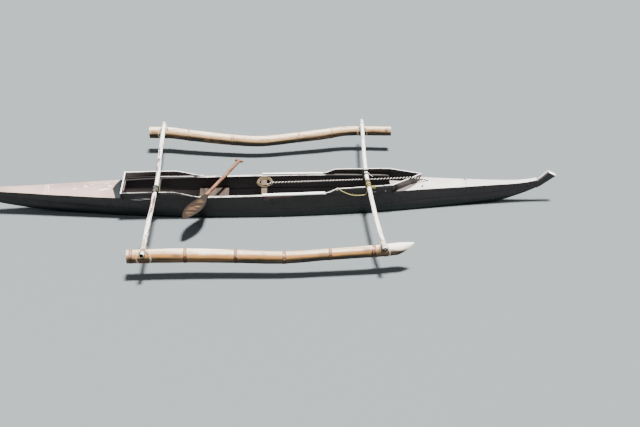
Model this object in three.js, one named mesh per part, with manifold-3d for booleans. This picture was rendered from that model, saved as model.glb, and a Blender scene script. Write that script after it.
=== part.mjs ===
// Outrigger canoe, a one-person double-outrigger paddling canoe.
// Millimetres. +X runs to the bow, +Y to port, +Z up.
// The origin lies amidships on the waterline.
import * as THREE from 'three';
import { mergeVertices } from 'three/addons/utils/BufferGeometryUtils.js';
import Module from 'manifold-3d';

const wasm = await Module();
wasm.setup();

// General fits
const gap = 0.3;
const deckThick = 8;
const strakeThick = 14;
const logWallFoot = 14;
const logWallTop = 20;
const cutOver = 5;
const floorShare = 0.2;
const seamShare = 0.62;

// Hull stations from stern to bow: half breadth at the sheer, sheer height,
// half breadth at the bilge, keel height, crown of the deck
const stationColumns = ['x', 'sheerHalf', 'sheerZ', 'bilgeHalf', 'keelZ', 'crown'];
const stations = [
  [-2560, 20, 234, 15, 168, 2],
  [-2300, 48, 220, 34, 89, 6],
  [-2030, 77, 212, 50, 33, 9],
  [-1850, 102, 208, 63, 3, 11],
  [-1570, 138, 203, 84, -45, 14],
  [-1285, 172, 200, 126, -80, 18],
  [-980, 203, 198, 163, -106, 20],
  [-500, 212, 198, 198, -125, 20],
  [0, 212, 200, 218, -130, 20],
  [500, 202, 202, 206, -127, 20],
  [960, 177, 201, 176, -108, 24],
  [1110, 164, 200, 160, -100, 26],
  [1260, 141, 198, 142, -90, 28],
  [1410, 118, 195, 122, -77, 30],
  [1780, 78, 190, 74, -38, 20],
  [2100, 46, 189, 39, 8, 12],
  [2240, 35, 191, 29, 50, 8],
  [2340, 29, 198, 23, 88, 5],
  [2430, 25, 214, 19, 129, 2],
];

// Lengths of the hull's parts
const sternX = -2560;
const bowX = 2430;
const loftStep = 110;
const bilgeShare = 0.5;
const bottomSteps = 5;
const sternPostX = -2400;
const bowPostX = 2240;
const cavityAftX = -1204;
const cavityForeX = 1385;
const strakeJointX = 0;
const bottomParts = [
  { word: 'aft', from: cavityAftX, to: -600 },
  { word: 'middle', from: -600, to: 600 },
  { word: 'fore', from: 600, to: cavityForeX },
];
const sideParts = [
  { word: 'aft', from: cavityAftX, to: -600 },
  { word: 'seat', from: -600, to: 0 },
  { word: 'middle', from: 0, to: 600 },
  { word: 'fore', from: 600, to: cavityForeX },
];

// Decks
const aftDeckForeX = -1226;
const aftSeamX = -1870;
const foreSeamX = 1794;

// Coaming: aft board, side boards and the breakwater at the foredeck
const aftBoardX = -1225;
const boardThick = 12;
const aftBoardHalf = 214;
const coamingTop = 262;
const boardFootInset = 4;
const cleat = { thick: 12, from: -150, to: 120, foot: 226, top: 240 };
const sideBoardThick = 10;
const aftSideStartX = -1212.7;
const aftSideTopHalf = 209;
const aftRampTopX = -800;
const aftRampEndX = -520;
const foreRampStartX = 548;
const foreRampTopX = 660;
const foreSideEndX = 1124;
const foreSideLow = 257;
const foreSideTop = 267;
const vCornerX = 1130;
const vCornerY = 164;
const vTipX = 1404;
const vTipTop = 291;
const vThick = 10;
const vFootZ = 193;
const cornerPlate = { aftX: 1115, aftHalf: 56, foreX: 1243, foreHalf: 78, foot: 250, top: 257 };
const notchBack = 200;
const notchLow = 100;
const notchHigh = 400;
const beyond = 900;

// Gunwale rails and their thick caps amidships
const railWide = 30;
const railThick = 14;
const railAftX = -1212;
const railForeX = 1122;
const aftRampRise = 6;
const foreRampRise = 12;
const boardOut = 2;
const capOut = 6;
const capWide = 36;
const capThick = 13;
const capAftX = 0;
const capForeX = 542;

// Thwart and seat inside the hull
const thwartX = 14;
const thwartWide = 52;
const thwartThick = 16;
const boomThwartWide = 46;
const boomThwarts = [
  { name: 'boom_thwart_aft', x: -920 },
  { name: 'boom_thwart_fore', x: 917 },
];
const seatX = -430;
const seatWide = 260;
const seatThick = 18;
const seatPlay = 1;

// Upturned bow tip and stern tip: centreline height of top and underside
const tipUnderShare = 0.6;
const bowTip = [
  { x: 2430.3, top: 196, under: 130, half: 24 },
  { x: 2474, top: 232, under: 154, half: 25 },
  { x: 2530, top: 286, under: 196, half: 25 },
  { x: 2598, top: 252, under: 246, half: 23 },
];
const sternTip = [
  { x: -2560.3, top: 231, under: 170, half: 20 },
  { x: -2604, top: 252, under: 194, half: 20 },
  { x: -2630, top: 262, under: 216, half: 18 },
];

// Booms, from the near end to the far end: along y, sideways, height, radius
const poleSides = 16;
const poleStep = 160;
const boreDeep = 70;
const boreShare = 0.68;
const aftBoom = [
  { y: -1288, x: -955, z: 263, r: 19 },
  { y: -1170, x: -948, z: 267, r: 18.5 },
  { y: -950, x: -942.5, z: 272.9, r: 19 },
  { y: -742, x: -938, z: 278, r: 19 },
  { y: -547, x: -930, z: 278.8, r: 17.8 },
  { y: -205, x: -922, z: 279.6, r: 17.2 },
  { y: 0, x: -918, z: 279.9, r: 17.5 },
  { y: 205, x: -921, z: 280.6, r: 18.2 },
  { y: 384, x: -926, z: 279.5, r: 18.5 },
  { y: 800, x: -932, z: 275, r: 18.5 },
  { y: 1170, x: -935, z: 268, r: 18 },
  { y: 1228, x: -937, z: 266.5, r: 17 },
];
const foreBoom = [
  { y: -1270, x: 969, z: 259.5, r: 18.5 },
  { y: -1166, x: 963, z: 262.5, r: 18.5 },
  { y: -1010, x: 950, z: 267.4, r: 19 },
  { y: -850, x: 939, z: 271.5, r: 18.5 },
  { y: -472, x: 926, z: 278.8, r: 17.8 },
  { y: -178, x: 920, z: 280.4, r: 17.2 },
  { y: 0, x: 916, z: 280.2, r: 16.8 },
  { y: 178, x: 919.5, z: 279.8, r: 16.6 },
  { y: 302, x: 923, z: 279.6, r: 16.6 },
  { y: 618, x: 936, z: 276.7, r: 16.2 },
  { y: 882, x: 949, z: 270.8, r: 16.3 },
  { y: 1140, x: 961, z: 261.8, r: 16.3 },
  { y: 1220, x: 966, z: 255.5, r: 13 },
  { y: 1255, x: 964, z: 255, r: 8 },
];

// Bamboo floats, from aft to fore: along x, sideways, height, radius
const floatSides = 20;
const floatStep = 130;
const starboardFloat = [
  { x: -1085, y: -1171, z: 190, r: 54 },
  { x: -625, y: -1168, z: 188, r: 57 },
  { x: -224, y: -1182, z: 178, r: 53 },
  { x: 163, y: -1200, z: 168, r: 50 },
  { x: 530, y: -1188, z: 180, r: 46 },
  { x: 884, y: -1169, z: 189, r: 48 },
  { x: 1083, y: -1144, z: 192, r: 50 },
  { x: 1232, y: -1128, z: 192, r: 50 },
];
const portFloat = [
  { x: -1078, y: 1184, z: 193, r: 55 },
  { x: -884, y: 1172, z: 191, r: 54 },
  { x: -689, y: 1128, z: 180, r: 53 },
  { x: -287, y: 1056, z: 158, r: 51 },
  { x: -2, y: 1030, z: 150, r: 50 },
  { x: 351, y: 1074, z: 163, r: 48 },
  { x: 574, y: 1107, z: 173, r: 50 },
  { x: 824, y: 1146, z: 187, r: 46 },
  { x: 1238, y: 1117, z: 190, r: 43 },
];
const starboardNodesX = [-1056, -625, -224, 163, 530, 884];
const portNodesX = [-700, -287, 351, 660, 930];
const nodeSwell = 3.5;
const nodeHalf = 9;
const nose = { y: -1128, topX: 1228, topZ: 244, footX: 1040, footZ: 136 };
const noseCutBack = 20;
const noseCutOut = 200;
const noseCutLow = 60;
const noseCutHigh = 300;

// Lashings
const wrapThick = 5;
const bandWide = 26;
const hullWrapWide = 48;
const sideWrapWide = 30;
const bandSides = 18;
const wrapSteps = 10;
const slotInset = 2;

// Cord coil on the thwart and the slack cord at the starboard side
const coilSides = 12;
const coilTurns = 28;
const coil = { x: 22, y: 45, inner: 48, outer: 72, thick: 24, stretch: 1.27 };
const slackRadius = 3;
const slackSteps = 40;
const slackCord = [
  [656, -190, 260.6],
  [659, -198, 261],
  [664, -206, 257],
  [684, -212, 243],
  [714, -214, 227],
  [755, -214, 208],
  [801, -212, 197],
  [862, -206, 194],
  [896, -202, 202],
  [908, -201, 234],
  [903.75, -202, 269],
];

// Paddle laid across the gunwales: blade to starboard, grip to port
const paddleBlade = { x: -660, y: -612 };
const paddleGrip = { x: -206, y: 480 };
const paddleZ = 220;
const shaft = { radius: 15, sides: 12, taperFrom: 300, taperTo: 450, taperShare: 0.5, end: 20 };
const blade = { long: 470, thick: 14, edge: 2, tipShare: 0.5 };
const bladeRows = [
  { at: 0, half: 3 },
  { at: 30, half: 30 },
  { at: 110, half: 58 },
  { at: 200, half: 72 },
  { at: 300, half: 62 },
  { at: 400, half: 34 },
  { at: 470, half: 16 },
];
const grip = { radius: 14, half: 42, back: 12 };

const paint = {
  hull: 0x2b2b2f,
  deck: 0xd8c9c6,
  white: 0xe4e0d8,
  bare: 0xb09878,
  bamboo: 0xcdb48a,
  cord: 0x3a352c,
  yellow: 0xb8a75a,
  paddle: 0x6b4a30,
};

// Smooth value of a table column at a place along its first column
function valueAt(rows, key, at, along) {
  let i = 0;
  while (i < rows.length - 2 && at > rows[i + 1][along]) {
    i += 1;
  }
  const a = rows[i];
  const b = rows[i + 1];
  const before = rows[Math.max(i - 1, 0)];
  const after = rows[Math.min(i + 2, rows.length - 1)];
  const span = b[along] - a[along];
  const t = Math.min(Math.max((at - a[along]) / span, 0), 1);
  const slopeA = (b[key] - before[key]) / (b[along] - before[along]) * span;
  const slopeB = (after[key] - a[key]) / (after[along] - a[along]) * span;
  const t2 = t * t;
  const t3 = t2 * t;
  return (2 * t3 - 3 * t2 + 1) * a[key] + (t3 - 2 * t2 + t) * slopeA
    + (3 * t2 - 2 * t3) * b[key] + (t3 - t2) * slopeB;
}

const hullRows = stations.map((row) => {
  const named = {};
  stationColumns.forEach((column, i) => {
    named[column] = row[i];
  });
  return named;
});

// Every long piece has its rings at the same places, so its neighbours fit it
function hullValue(key, x) {
  const low = sternX + Math.floor((x - sternX) / loftStep) * loftStep;
  const t = (x - low) / loftStep;
  return (1 - t) * valueAt(hullRows, key, low, 'x') + t * valueAt(hullRows, key, low + loftStep, 'x');
}

const sheerHalf = (x) => hullValue('sheerHalf', x);
const sheerZ = (x) => hullValue('sheerZ', x);
const bilgeHalf = (x) => hullValue('bilgeHalf', x);
const keelZ = (x) => hullValue('keelZ', x);
const crown = (x) => hullValue('crown', x);
const bilgeZ = (x) => keelZ(x) + bilgeShare * (sheerZ(x) - keelZ(x));
const floorZ = (x) => keelZ(x) + floorShare * (sheerZ(x) - keelZ(x));
const seamZ = (x) => keelZ(x) + seamShare * (sheerZ(x) - keelZ(x));
const strakeTop = (x) => sheerZ(x) - deckThick - gap;

// Half breadth of the hull's skin: a round bottom below the bilge, a flared side above it
function sideHalf(x, z) {
  const low = bilgeZ(x);
  if (z < low) {
    const deep = Math.min((low - z) / (low - keelZ(x)), 1);
    return bilgeHalf(x) * Math.sqrt(1 - deep * deep);
  }
  const t = (z - low) / (sheerZ(x) - low);
  return bilgeHalf(x) + (sheerHalf(x) - bilgeHalf(x)) * t * (2 - t);
}

// Places between two ends, both included
function placesAlong(from, to, step) {
  const count = Math.max(1, Math.round((to - from) / step));
  return Array.from({ length: count + 1 }, (_, i) => from + (to - from) * i / count);
}

// The hull's ring places between two ends, both included
function hullPlaces(from, to, extra = []) {
  const places = [from, to, ...extra];
  for (let x = sternX; x <= bowX + loftStep; x += loftStep) {
    if (x > from + 1 && x < to - 1) {
      places.push(x);
    }
  }
  return [...new Set(places)].sort((a, b) => a - b);
}

// Closed solid through rings that have the same number of points
function loft(rings, flat) {
  const count = rings[0].length;
  const positions = rings.flat(2);
  const index = [];
  for (let i = 0; i < rings.length - 1; i += 1) {
    for (let j = 0; j < count; j += 1) {
      const a = i * count + j;
      const b = i * count + (j + 1) % count;
      index.push(a, b, b + count, a, b + count, a + count);
    }
  }
  const cap = (ring) => THREE.ShapeUtils.triangulateShape(
    ring.map((p) => new THREE.Vector2(p[flat[0]], p[flat[1]])), []);
  const last = (rings.length - 1) * count;
  const turned = signedArea(rings[0], flat) < 0;
  const turnedLast = signedArea(rings[rings.length - 1], flat) < 0;
  cap(rings[0]).forEach(([a, b, c]) => {
    index.push(...(turned ? [a, b, c] : [a, c, b]));
  });
  cap(rings[rings.length - 1]).forEach(([a, b, c]) => {
    const tri = turnedLast ? [a, c, b] : [a, b, c];
    index.push(...tri.map((k) => k + last));
  });
  const geometry = new THREE.BufferGeometry();
  geometry.setAttribute('position', new THREE.Float32BufferAttribute(positions, 3));
  geometry.setIndex(index);
  return faceOut(geometry);
}

function signedArea(ring, flat) {
  let sum = 0;
  ring.forEach((p, i) => {
    const q = ring[(i + 1) % ring.length];
    sum += p[flat[0]] * q[flat[1]] - q[flat[0]] * p[flat[1]];
  });
  return sum / 2;
}

function volumeOf(geometry) {
  const at = geometry.attributes.position;
  const idx = geometry.index.array;
  const a = new THREE.Vector3();
  const b = new THREE.Vector3();
  const c = new THREE.Vector3();
  let sum = 0;
  for (let i = 0; i < idx.length; i += 3) {
    a.fromBufferAttribute(at, idx[i]);
    b.fromBufferAttribute(at, idx[i + 1]);
    c.fromBufferAttribute(at, idx[i + 2]);
    sum += a.dot(b.cross(c)) / 6;
  }
  return sum;
}

function faceOut(geometry) {
  if (volumeOf(geometry) < 0) {
    const idx = geometry.index.array;
    for (let i = 0; i < idx.length; i += 3) {
      const keep = idx[i + 1];
      idx[i + 1] = idx[i + 2];
      idx[i + 2] = keep;
    }
  }
  return geometry;
}

// Solid for the boolean steps
function solid(geometry) {
  const plain = geometry.clone();
  plain.deleteAttribute('normal');
  plain.deleteAttribute('uv');
  const joined = mergeVertices(plain, 1e-4);
  const mesh = new wasm.Mesh({
    numProp: 3,
    vertProperties: new Float32Array(joined.attributes.position.array),
    triVerts: new Uint32Array(joined.index.array),
  });
  return new wasm.Manifold(mesh);
}

function geometryOf(body) {
  const mesh = body.getMesh();
  const geometry = new THREE.BufferGeometry();
  geometry.setAttribute('position', new THREE.Float32BufferAttribute(mesh.vertProperties, 3));
  geometry.setIndex(Array.from(mesh.triVerts));
  return geometry;
}

function box(from, to) {
  const size = to.map((v, i) => v - from[i]);
  const geometry = new THREE.BoxGeometry(...size);
  geometry.translate(...to.map((v, i) => (v + from[i]) / 2));
  return geometry;
}

const group = new THREE.Group();
group.name = 'outrigger_canoe';

function add(name, geometry, color) {
  const material = new THREE.MeshStandardMaterial({ color, roughness: 0.8 });
  material.name = `${name}_paint`;
  const mesh = new THREE.Mesh(geometry.index ? geometry : mergeVertices(geometry), material);
  mesh.name = name;
  group.add(mesh);
}

// Round underside of the log from the floor's height down to the keel, port half
function bottomArc(x) {
  const deep = bilgeZ(x) - keelZ(x);
  const from = Math.asin((bilgeZ(x) - floorZ(x)) / deep);
  return Array.from({ length: bottomSteps }, (_, i) => {
    const turn = from + (Math.PI / 2 - from) * i / bottomSteps;
    return [x, bilgeHalf(x) * Math.cos(turn), bilgeZ(x) - deep * Math.sin(turn)];
  });
}

// Both halves of a ring whose port half runs from its top down to the keel
function mirrored(x, port) {
  const starboard = port.slice().reverse().map(([, y, z]) => [x, -y, z]);
  return [...port, [x, 0, keelZ(x)], ...starboard];
}

// Hollowed log: its bottom, flat on top, in lengths that meet end to end
bottomParts.forEach(({ word, from, to }) => {
  const rings = hullPlaces(from + gap / 2, to - gap / 2).map((x) => mirrored(x, bottomArc(x)));
  add(`hull_log_${word}`, loft(rings, [1, 2]), paint.hull);
});

// Log sides on the bottom, with a plain inner face
[['port', 1], ['starboard', -1]].forEach(([port, side]) => {
  sideParts.forEach(({ word, from, to }) => {
    const rings = hullPlaces(from + gap / 2, to - gap / 2).map((x) => {
      const foot = floorZ(x) + gap;
      const top = seamZ(x);
      const outer = [foot, (foot + bilgeZ(x)) / 2, bilgeZ(x), top].map((z) => [x, side * sideHalf(x, z), z]);
      return [
        ...outer,
        [x, side * (sideHalf(x, top) - logWallTop), top],
        [x, side * (sideHalf(x, foot) - logWallFoot), foot],
      ];
    });
    add(`log_side_${port}_${word}`, loft(rings, [1, 2]), paint.hull);
  });
});

// Log ends, solid from the keel up to the strakes
function endBlock(from, to) {
  return loft(hullPlaces(from, to).map((x) => {
    const heights = [seamZ(x), bilgeZ(x), (floorZ(x) + bilgeZ(x)) / 2];
    return mirrored(x, [...heights.map((z) => [x, sideHalf(x, z), z]), ...bottomArc(x)]);
  }), [1, 2]);
}

add('log_end_aft', endBlock(sternX, cavityAftX - gap / 2), paint.hull);
add('log_end_fore', endBlock(cavityForeX + gap / 2, bowX), paint.hull);

// Side strakes on the log's edges
function strakeRing(x, side) {
  const foot = seamZ(x) + gap;
  const top = strakeTop(x);
  const middle = (foot + top) / 2;
  const outer = [foot, middle, top].map((z) => [x, side * sideHalf(x, z), z]);
  const inner = [top, middle, foot].map((z) => [x, side * (sideHalf(x, z) - strakeThick), z]);
  return [...outer, ...inner];
}

[['port', 1], ['starboard', -1]].forEach(([word, side]) => {
  const aft = hullPlaces(sternPostX, strakeJointX - gap / 2).map((x) => strakeRing(x, side));
  const fore = hullPlaces(strakeJointX + gap / 2, bowPostX).map((x) => strakeRing(x, side));
  add(`strake_${word}_aft`, loft(aft, [1, 2]), paint.hull);
  add(`strake_${word}_fore`, loft(fore, [1, 2]), paint.hull);
});

// Solid posts that close the strakes at stern and bow
function postRing(x) {
  const foot = seamZ(x) + gap;
  const top = strakeTop(x);
  const port = [foot, top].map((z) => [x, sideHalf(x, z), z]);
  const starboard = port.slice().reverse().map(([, y, z]) => [x, -y, z]);
  return [...port, ...starboard];
}

add('stern_post', loft(hullPlaces(sternX, sternPostX - gap).map(postRing), [1, 2]), paint.hull);
add('bow_post', loft(hullPlaces(bowPostX + gap, bowX).map(postRing), [1, 2]), paint.hull);

// Deck panels with a light crown
function deckRing(x) {
  const edge = sheerHalf(x);
  const shares = [-1, -0.6, 0, 0.6, 1];
  const rise = (share) => crown(x) * (1 - share * share);
  const top = shares.map((s) => [x, s * edge, sheerZ(x) + rise(s)]);
  const under = shares.slice().reverse().map(
    (s) => [x, s * edge, sheerZ(x) - deckThick + rise(s)]);
  return [...top, ...under];
}

const deckPanel = (from, to) => loft(hullPlaces(from, to).map(deckRing), [1, 2]);
add('aft_deck_fore', deckPanel(aftSeamX + gap, aftDeckForeX), paint.deck);
add('aft_deck_aft', deckPanel(sternX, aftSeamX), paint.deck);
add('foredeck_fore', deckPanel(foreSeamX + gap, bowX), paint.deck);

// The foredeck's aft edge follows the breakwater
function plank(points, zFrom, zTo) {
  const shape = new THREE.Shape(points.map(([x, y]) => new THREE.Vector2(x, y)));
  const geometry = new THREE.ExtrudeGeometry(shape, { depth: zTo - zFrom, bevelEnabled: false });
  geometry.translate(0, 0, zFrom);
  return geometry;
}

const vSlope = vCornerY / (vTipX - vCornerX);
const vLong = Math.hypot(vCornerY, vTipX - vCornerX);
const vOut = vThick / 2 * vLong / vCornerY;
const vNotch = [
  [vCornerX - notchBack, (notchBack + vOut + gap) * vSlope + vCornerY],
  [vTipX + vOut + gap * 2, 0],
  [vCornerX - notchBack, -(notchBack + vOut + gap) * vSlope - vCornerY],
];
const foredeckBody = solid(deckPanel(vCornerX - 30, foreSeamX))
  .subtract(solid(plank(vNotch, notchLow, notchHigh)));
add('foredeck_aft', geometryOf(foredeckBody), paint.deck);

// Breakwater wings that meet at the centreline
[['port', 1], ['starboard', -1]].forEach(([word, side]) => {
  const along = new THREE.Vector2(vTipX - vCornerX, -side * vCornerY).normalize();
  const across = new THREE.Vector2(-along.y, along.x).multiplyScalar(vThick / 2);
  const corner = new THREE.Vector2(vCornerX, side * vCornerY);
  const overrun = corner.clone().addScaledVector(along, vLong + vThick * 2);
  const outline = [[corner, vFootZ], [overrun, vFootZ], [overrun, vTipTop + 1], [corner, foreSideTop]];
  const rings = [1, -1].map((s) => outline.map(([p, z]) => [p.x + s * across.x, p.y + s * across.y, z]));
  const wing = solid(loft(rings, [0, 2]));
  const inboard = side * gap / 2;
  const outboard = side * beyond;
  const keep = solid(box(
    [0, Math.min(inboard, outboard), 0], [beyond * 4, Math.max(inboard, outboard), beyond]));
  add(`breakwater_${word}`, geometryOf(wing.intersect(keep)), paint.white);
});

// Small plate in the starboard corner, between the side board and the breakwater
const wingInset = (vThick / 2 + gap) * vLong / (vTipX - vCornerX);
const wingInner = (x) => (vTipX - x) * vSlope - wingInset;
const boardInnerHalf = (x) => sheerHalf(x) + boardOut - sideBoardThick - gap;
const plateCornerHalf = boardInnerHalf(foreSideEndX);
const plateCornerX = vTipX - (plateCornerHalf + wingInset) / vSlope;
add('corner_plate', plank([
  [cornerPlate.aftX, -cornerPlate.aftHalf],
  [cornerPlate.aftX, -boardInnerHalf(cornerPlate.aftX)],
  [foreSideEndX, -plateCornerHalf],
  [plateCornerX, -plateCornerHalf],
  [cornerPlate.foreX, -wingInner(cornerPlate.foreX)],
  [cornerPlate.foreX, -cornerPlate.foreHalf],
], cornerPlate.foot, cornerPlate.top), paint.white);

// Board that closes the cockpit aft, with its foot between the strakes
const boardFoot = seamZ(aftBoardX) + gap;
const boardInner = sideHalf(aftBoardX, boardFoot) - strakeThick - boardFootInset;
const boardOuter = sideHalf(aftBoardX, strakeTop(aftBoardX)) - strakeThick - boardFootInset;
const aftBoardOutline = [
  [-boardInner, boardFoot],
  [boardInner, boardFoot],
  [boardOuter, strakeTop(aftBoardX) + gap],
  [aftBoardHalf, strakeTop(aftBoardX) + gap],
  [aftBoardHalf, coamingTop],
  [-aftBoardHalf, coamingTop],
  [-aftBoardHalf, strakeTop(aftBoardX) + gap],
  [-boardOuter, strakeTop(aftBoardX) + gap],
];
add('coaming_aft_board', loft(
  [aftBoardX, aftBoardX + boardThick].map((x) => aftBoardOutline.map(([y, z]) => [x, y, z])), [1, 2]),
paint.white);
const cleatX = aftBoardX + boardThick + gap;
add('coaming_aft_cleat', box(
  [cleatX, cleat.from, cleat.foot], [cleatX + cleat.thick, cleat.to, cleat.top]), paint.bare);

// Rails, caps and side boards that follow the sheer; a board may lean out to its top
function stripRing(x, side, outer, wide, foot, top, outerTop = outer) {
  return [
    [x, side * outer, foot],
    [x, side * outerTop, top],
    [x, side * (outerTop - wide), top],
    [x, side * (outer - wide), foot],
  ];
}

const aftRampX = placesAlong(aftRampTopX, aftRampEndX, 45);
const foreRampX = placesAlong(foreRampStartX, foreRampTopX, 20);
const railFoot = (x) => strakeTop(x) + gap;
const railTop = (x) => railFoot(x) + railThick;
const capTop = (x) => railTop(x) + gap + capThick;
const aftBoardTop = (x) => {
  const t = Math.min(Math.max((x - aftRampTopX) / (aftRampEndX - aftRampTopX), 0), 1);
  return coamingTop + (railTop(x) + aftRampRise - coamingTop) * t * t * (3 - 2 * t);
};
const foreBoardTop = (x) => {
  const t = Math.min(Math.max((x - foreRampStartX) / (foreRampTopX - foreRampStartX), 0), 1);
  const low = railTop(x) + foreRampRise;
  const along = (x - foreRampTopX) / (foreSideEndX - foreRampTopX);
  const level = foreSideLow + (foreSideTop - foreSideLow) * along;
  return low + (level - low) * t * t * (3 - 2 * t);
};

[['port', 1], ['starboard', -1]].forEach(([word, side]) => {
  const rail = hullPlaces(railAftX, railForeX).map(
    (x) => stripRing(x, side, sheerHalf(x), railWide, railFoot(x), railTop(x)));
  add(`rail_${word}`, loft(rail, [1, 2]), paint.hull);
  const cap = hullPlaces(capAftX, capForeX).map(
    (x) => stripRing(x, side, sheerHalf(x) + capOut, capWide, railTop(x) + gap, capTop(x)));
  add(`rail_cap_${word}`, loft(cap, [1, 2]), paint.white);
  const aftBoard = hullPlaces(aftSideStartX, aftRampEndX, aftRampX).map(
    (x) => stripRing(x, side, sheerHalf(x) + boardOut, sideBoardThick, railTop(x) + gap, aftBoardTop(x),
      Math.max(sheerHalf(x) + boardOut, aftSideTopHalf)));
  add(`washboard_aft_${word}`, loft(aftBoard, [1, 2]), paint.white);
  const foreBoard = hullPlaces(foreRampStartX, foreSideEndX, foreRampX).map(
    (x) => stripRing(x, side, sheerHalf(x) + boardOut, sideBoardThick, railTop(x) + gap, foreBoardTop(x)));
  add(`washboard_fore_${word}`, loft(foreBoard, [1, 2]), paint.white);
});

// Thwart between the rails and seat board between the strakes
function crossBoard(x, wide, foot, thick, halfAt) {
  const rings = [x - wide / 2, x + wide / 2].map((at) => {
    const half = halfAt(at);
    return [[at, -half, foot], [at, half, foot], [at, half, foot + thick], [at, -half, foot + thick]];
  });
  return loft(rings, [1, 2]);
}

add('thwart', crossBoard(thwartX, thwartWide, railTop(thwartX) - thwartThick, thwartThick,
  (x) => sheerHalf(x) - railWide - gap), paint.bare);
boomThwarts.forEach(({ name, x }) => {
  add(name, crossBoard(x, boomThwartWide, railTop(x) - thwartThick, thwartThick,
    (at) => sheerHalf(at) - railWide - gap), paint.bare);
});
const seatFoot = Math.max(seamZ(seatX - seatWide / 2), seamZ(seatX + seatWide / 2)) + gap;
add('seat_board', crossBoard(seatX, seatWide, seatFoot, seatThick,
  (x) => Math.min(sideHalf(x, seatFoot), sideHalf(x, seatFoot + seatThick)) - strakeThick - seatPlay),
paint.bare);

// Upturned tips beyond the decks
function tipRing(row) {
  return [
    [row.x, row.half, row.top],
    [row.x, -row.half, row.top],
    [row.x, -row.half * tipUnderShare, row.under],
    [row.x, row.half * tipUnderShare, row.under],
  ];
}
add('bow_tip', loft(bowTip.map(tipRing), [1, 2]), paint.hull);
add('stern_tip', loft(sternTip.map(tipRing), [1, 2]), paint.hull);

// Round poles: one ring for each place along the pole
function poleRing(row, axis, sides, extra = 0) {
  return Array.from({ length: sides }, (_, i) => {
    const turn = (2 * Math.PI * i) / sides;
    const out = (row.r + extra) * Math.cos(turn);
    const up = (row.r + extra) * Math.sin(turn);
    return axis === 'x' ? [row.x, row.y + out, row.z + up] : [row.x + out, row.y, row.z + up];
  });
}

function rowAt(rows, axis, at) {
  const across = axis === 'x' ? 'y' : 'x';
  return {
    [axis]: at,
    [across]: valueAt(rows, across, at, axis),
    z: valueAt(rows, 'z', at, axis),
    r: valueAt(rows, 'r', at, axis),
  };
}

function pole(rows, axis, sides, step, nodes = [], extra = 0) {
  const from = rows[0][axis];
  const to = rows[rows.length - 1][axis];
  const places = placesAlong(from, to, step).filter(
    (at) => nodes.every((n) => Math.abs(at - n) > nodeHalf * 2));
  const all = places.map((at) => ({ at, swell: 0 }));
  nodes.forEach((n) => {
    all.push({ at: n - nodeHalf, swell: 0 }, { at: n, swell: nodeSwell }, { at: n + nodeHalf, swell: 0 });
  });
  all.sort((a, b) => a.at - b.at);
  const rings = all.map(({ at, swell }) => poleRing(rowAt(rows, axis, at), axis, sides, swell + extra));
  return loft(rings, axis === 'x' ? [1, 2] : [0, 2]);
}

// Blind bore in the open end of a pole
function endBore(rows, axis, sides, fromStart) {
  const end = fromStart ? rows[0] : rows[rows.length - 1];
  const inward = fromStart ? 1 : -1;
  const rings = [-cutOver, boreDeep].map((deep) => {
    const row = rowAt(rows, axis, end[axis] + inward * Math.max(deep, 0));
    row.r *= boreShare;
    row[axis] = end[axis] + inward * deep;
    return poleRing(row, axis, sides);
  });
  return loft(rings, axis === 'x' ? [1, 2] : [0, 2]);
}

const poleWithBore = (rows, axis, sides, step, nodes, starts) => starts.reduce(
  (body, start) => body.subtract(solid(endBore(rows, axis, sides, start))),
  solid(pole(rows, axis, sides, step, nodes)));

add('boom_aft', geometryOf(poleWithBore(aftBoom, 'y', poleSides, poleStep, [], [true])), paint.white);
add('boom_fore', geometryOf(poleWithBore(foreBoom, 'y', poleSides, poleStep, [], [true])), paint.white);

// Floats: both ends open, the starboard one cut to a slanted nose
const noseCut = loft([-noseCutOut, noseCutOut].map((out) => [
  [nose.topX, nose.y + out, nose.topZ],
  [nose.footX, nose.y + out, nose.footZ],
  [nose.footX - noseCutBack, nose.y + out, noseCutLow],
  [nose.topX + noseCutOut, nose.y + out, noseCutLow],
  [nose.topX + noseCutOut, nose.y + out, noseCutHigh],
]), [0, 2]);
const starboardBody = poleWithBore(starboardFloat, 'x', floatSides, floatStep, starboardNodesX, [true])
  .subtract(solid(noseCut));
add('float_starboard', geometryOf(starboardBody), paint.bamboo);
add('float_port', geometryOf(
  poleWithBore(portFloat, 'x', floatSides, floatStep, portNodesX, [true, false])), paint.bamboo);

// Cross lashings that hold the booms down on the floats
function convexRing(list) {
  const sorted = list.slice().sort((a, b) => a[0] - b[0] || a[1] - b[1]);
  const turn = (o, a, b) => (a[0] - o[0]) * (b[1] - o[1]) - (a[1] - o[1]) * (b[0] - o[0]);
  const chain = (points) => points.reduce((kept, p) => {
    while (kept.length > 1 && turn(kept[kept.length - 2], kept[kept.length - 1], p) <= 0) {
      kept.pop();
    }
    kept.push(p);
    return kept;
  }, []);
  const lower = chain(sorted);
  const upper = chain(sorted.slice().reverse());
  return [...lower.slice(0, -1), ...upper.slice(0, -1)];
}

function lashingBand(floatRow, boomRow, turnSign) {
  const slant = Math.SQRT2;
  const outline = [];
  for (let i = 0; i < bandSides; i += 1) {
    const turn = (2 * Math.PI * i) / bandSides;
    const floatOut = floatRow.r + wrapThick;
    const boomOut = boomRow.r + wrapThick;
    outline.push([floatOut * slant * Math.cos(turn), floatRow.z + floatOut * Math.sin(turn)]);
    outline.push([boomOut * slant * Math.cos(turn), boomRow.z + boomOut * Math.sin(turn)]);
  }
  const ring = convexRing(outline);
  const along = [Math.SQRT1_2, Math.SQRT1_2 * turnSign];
  const across = [-along[1], along[0]];
  const rings = [-bandWide / 2, bandWide / 2].map((w) => ring.map(([s, z]) => [
    boomRow.x + along[0] * s + across[0] * w,
    floatRow.y + along[1] * s + across[1] * w,
    z,
  ]));
  return solid(loft(rings, [0, 2]));
}

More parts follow.
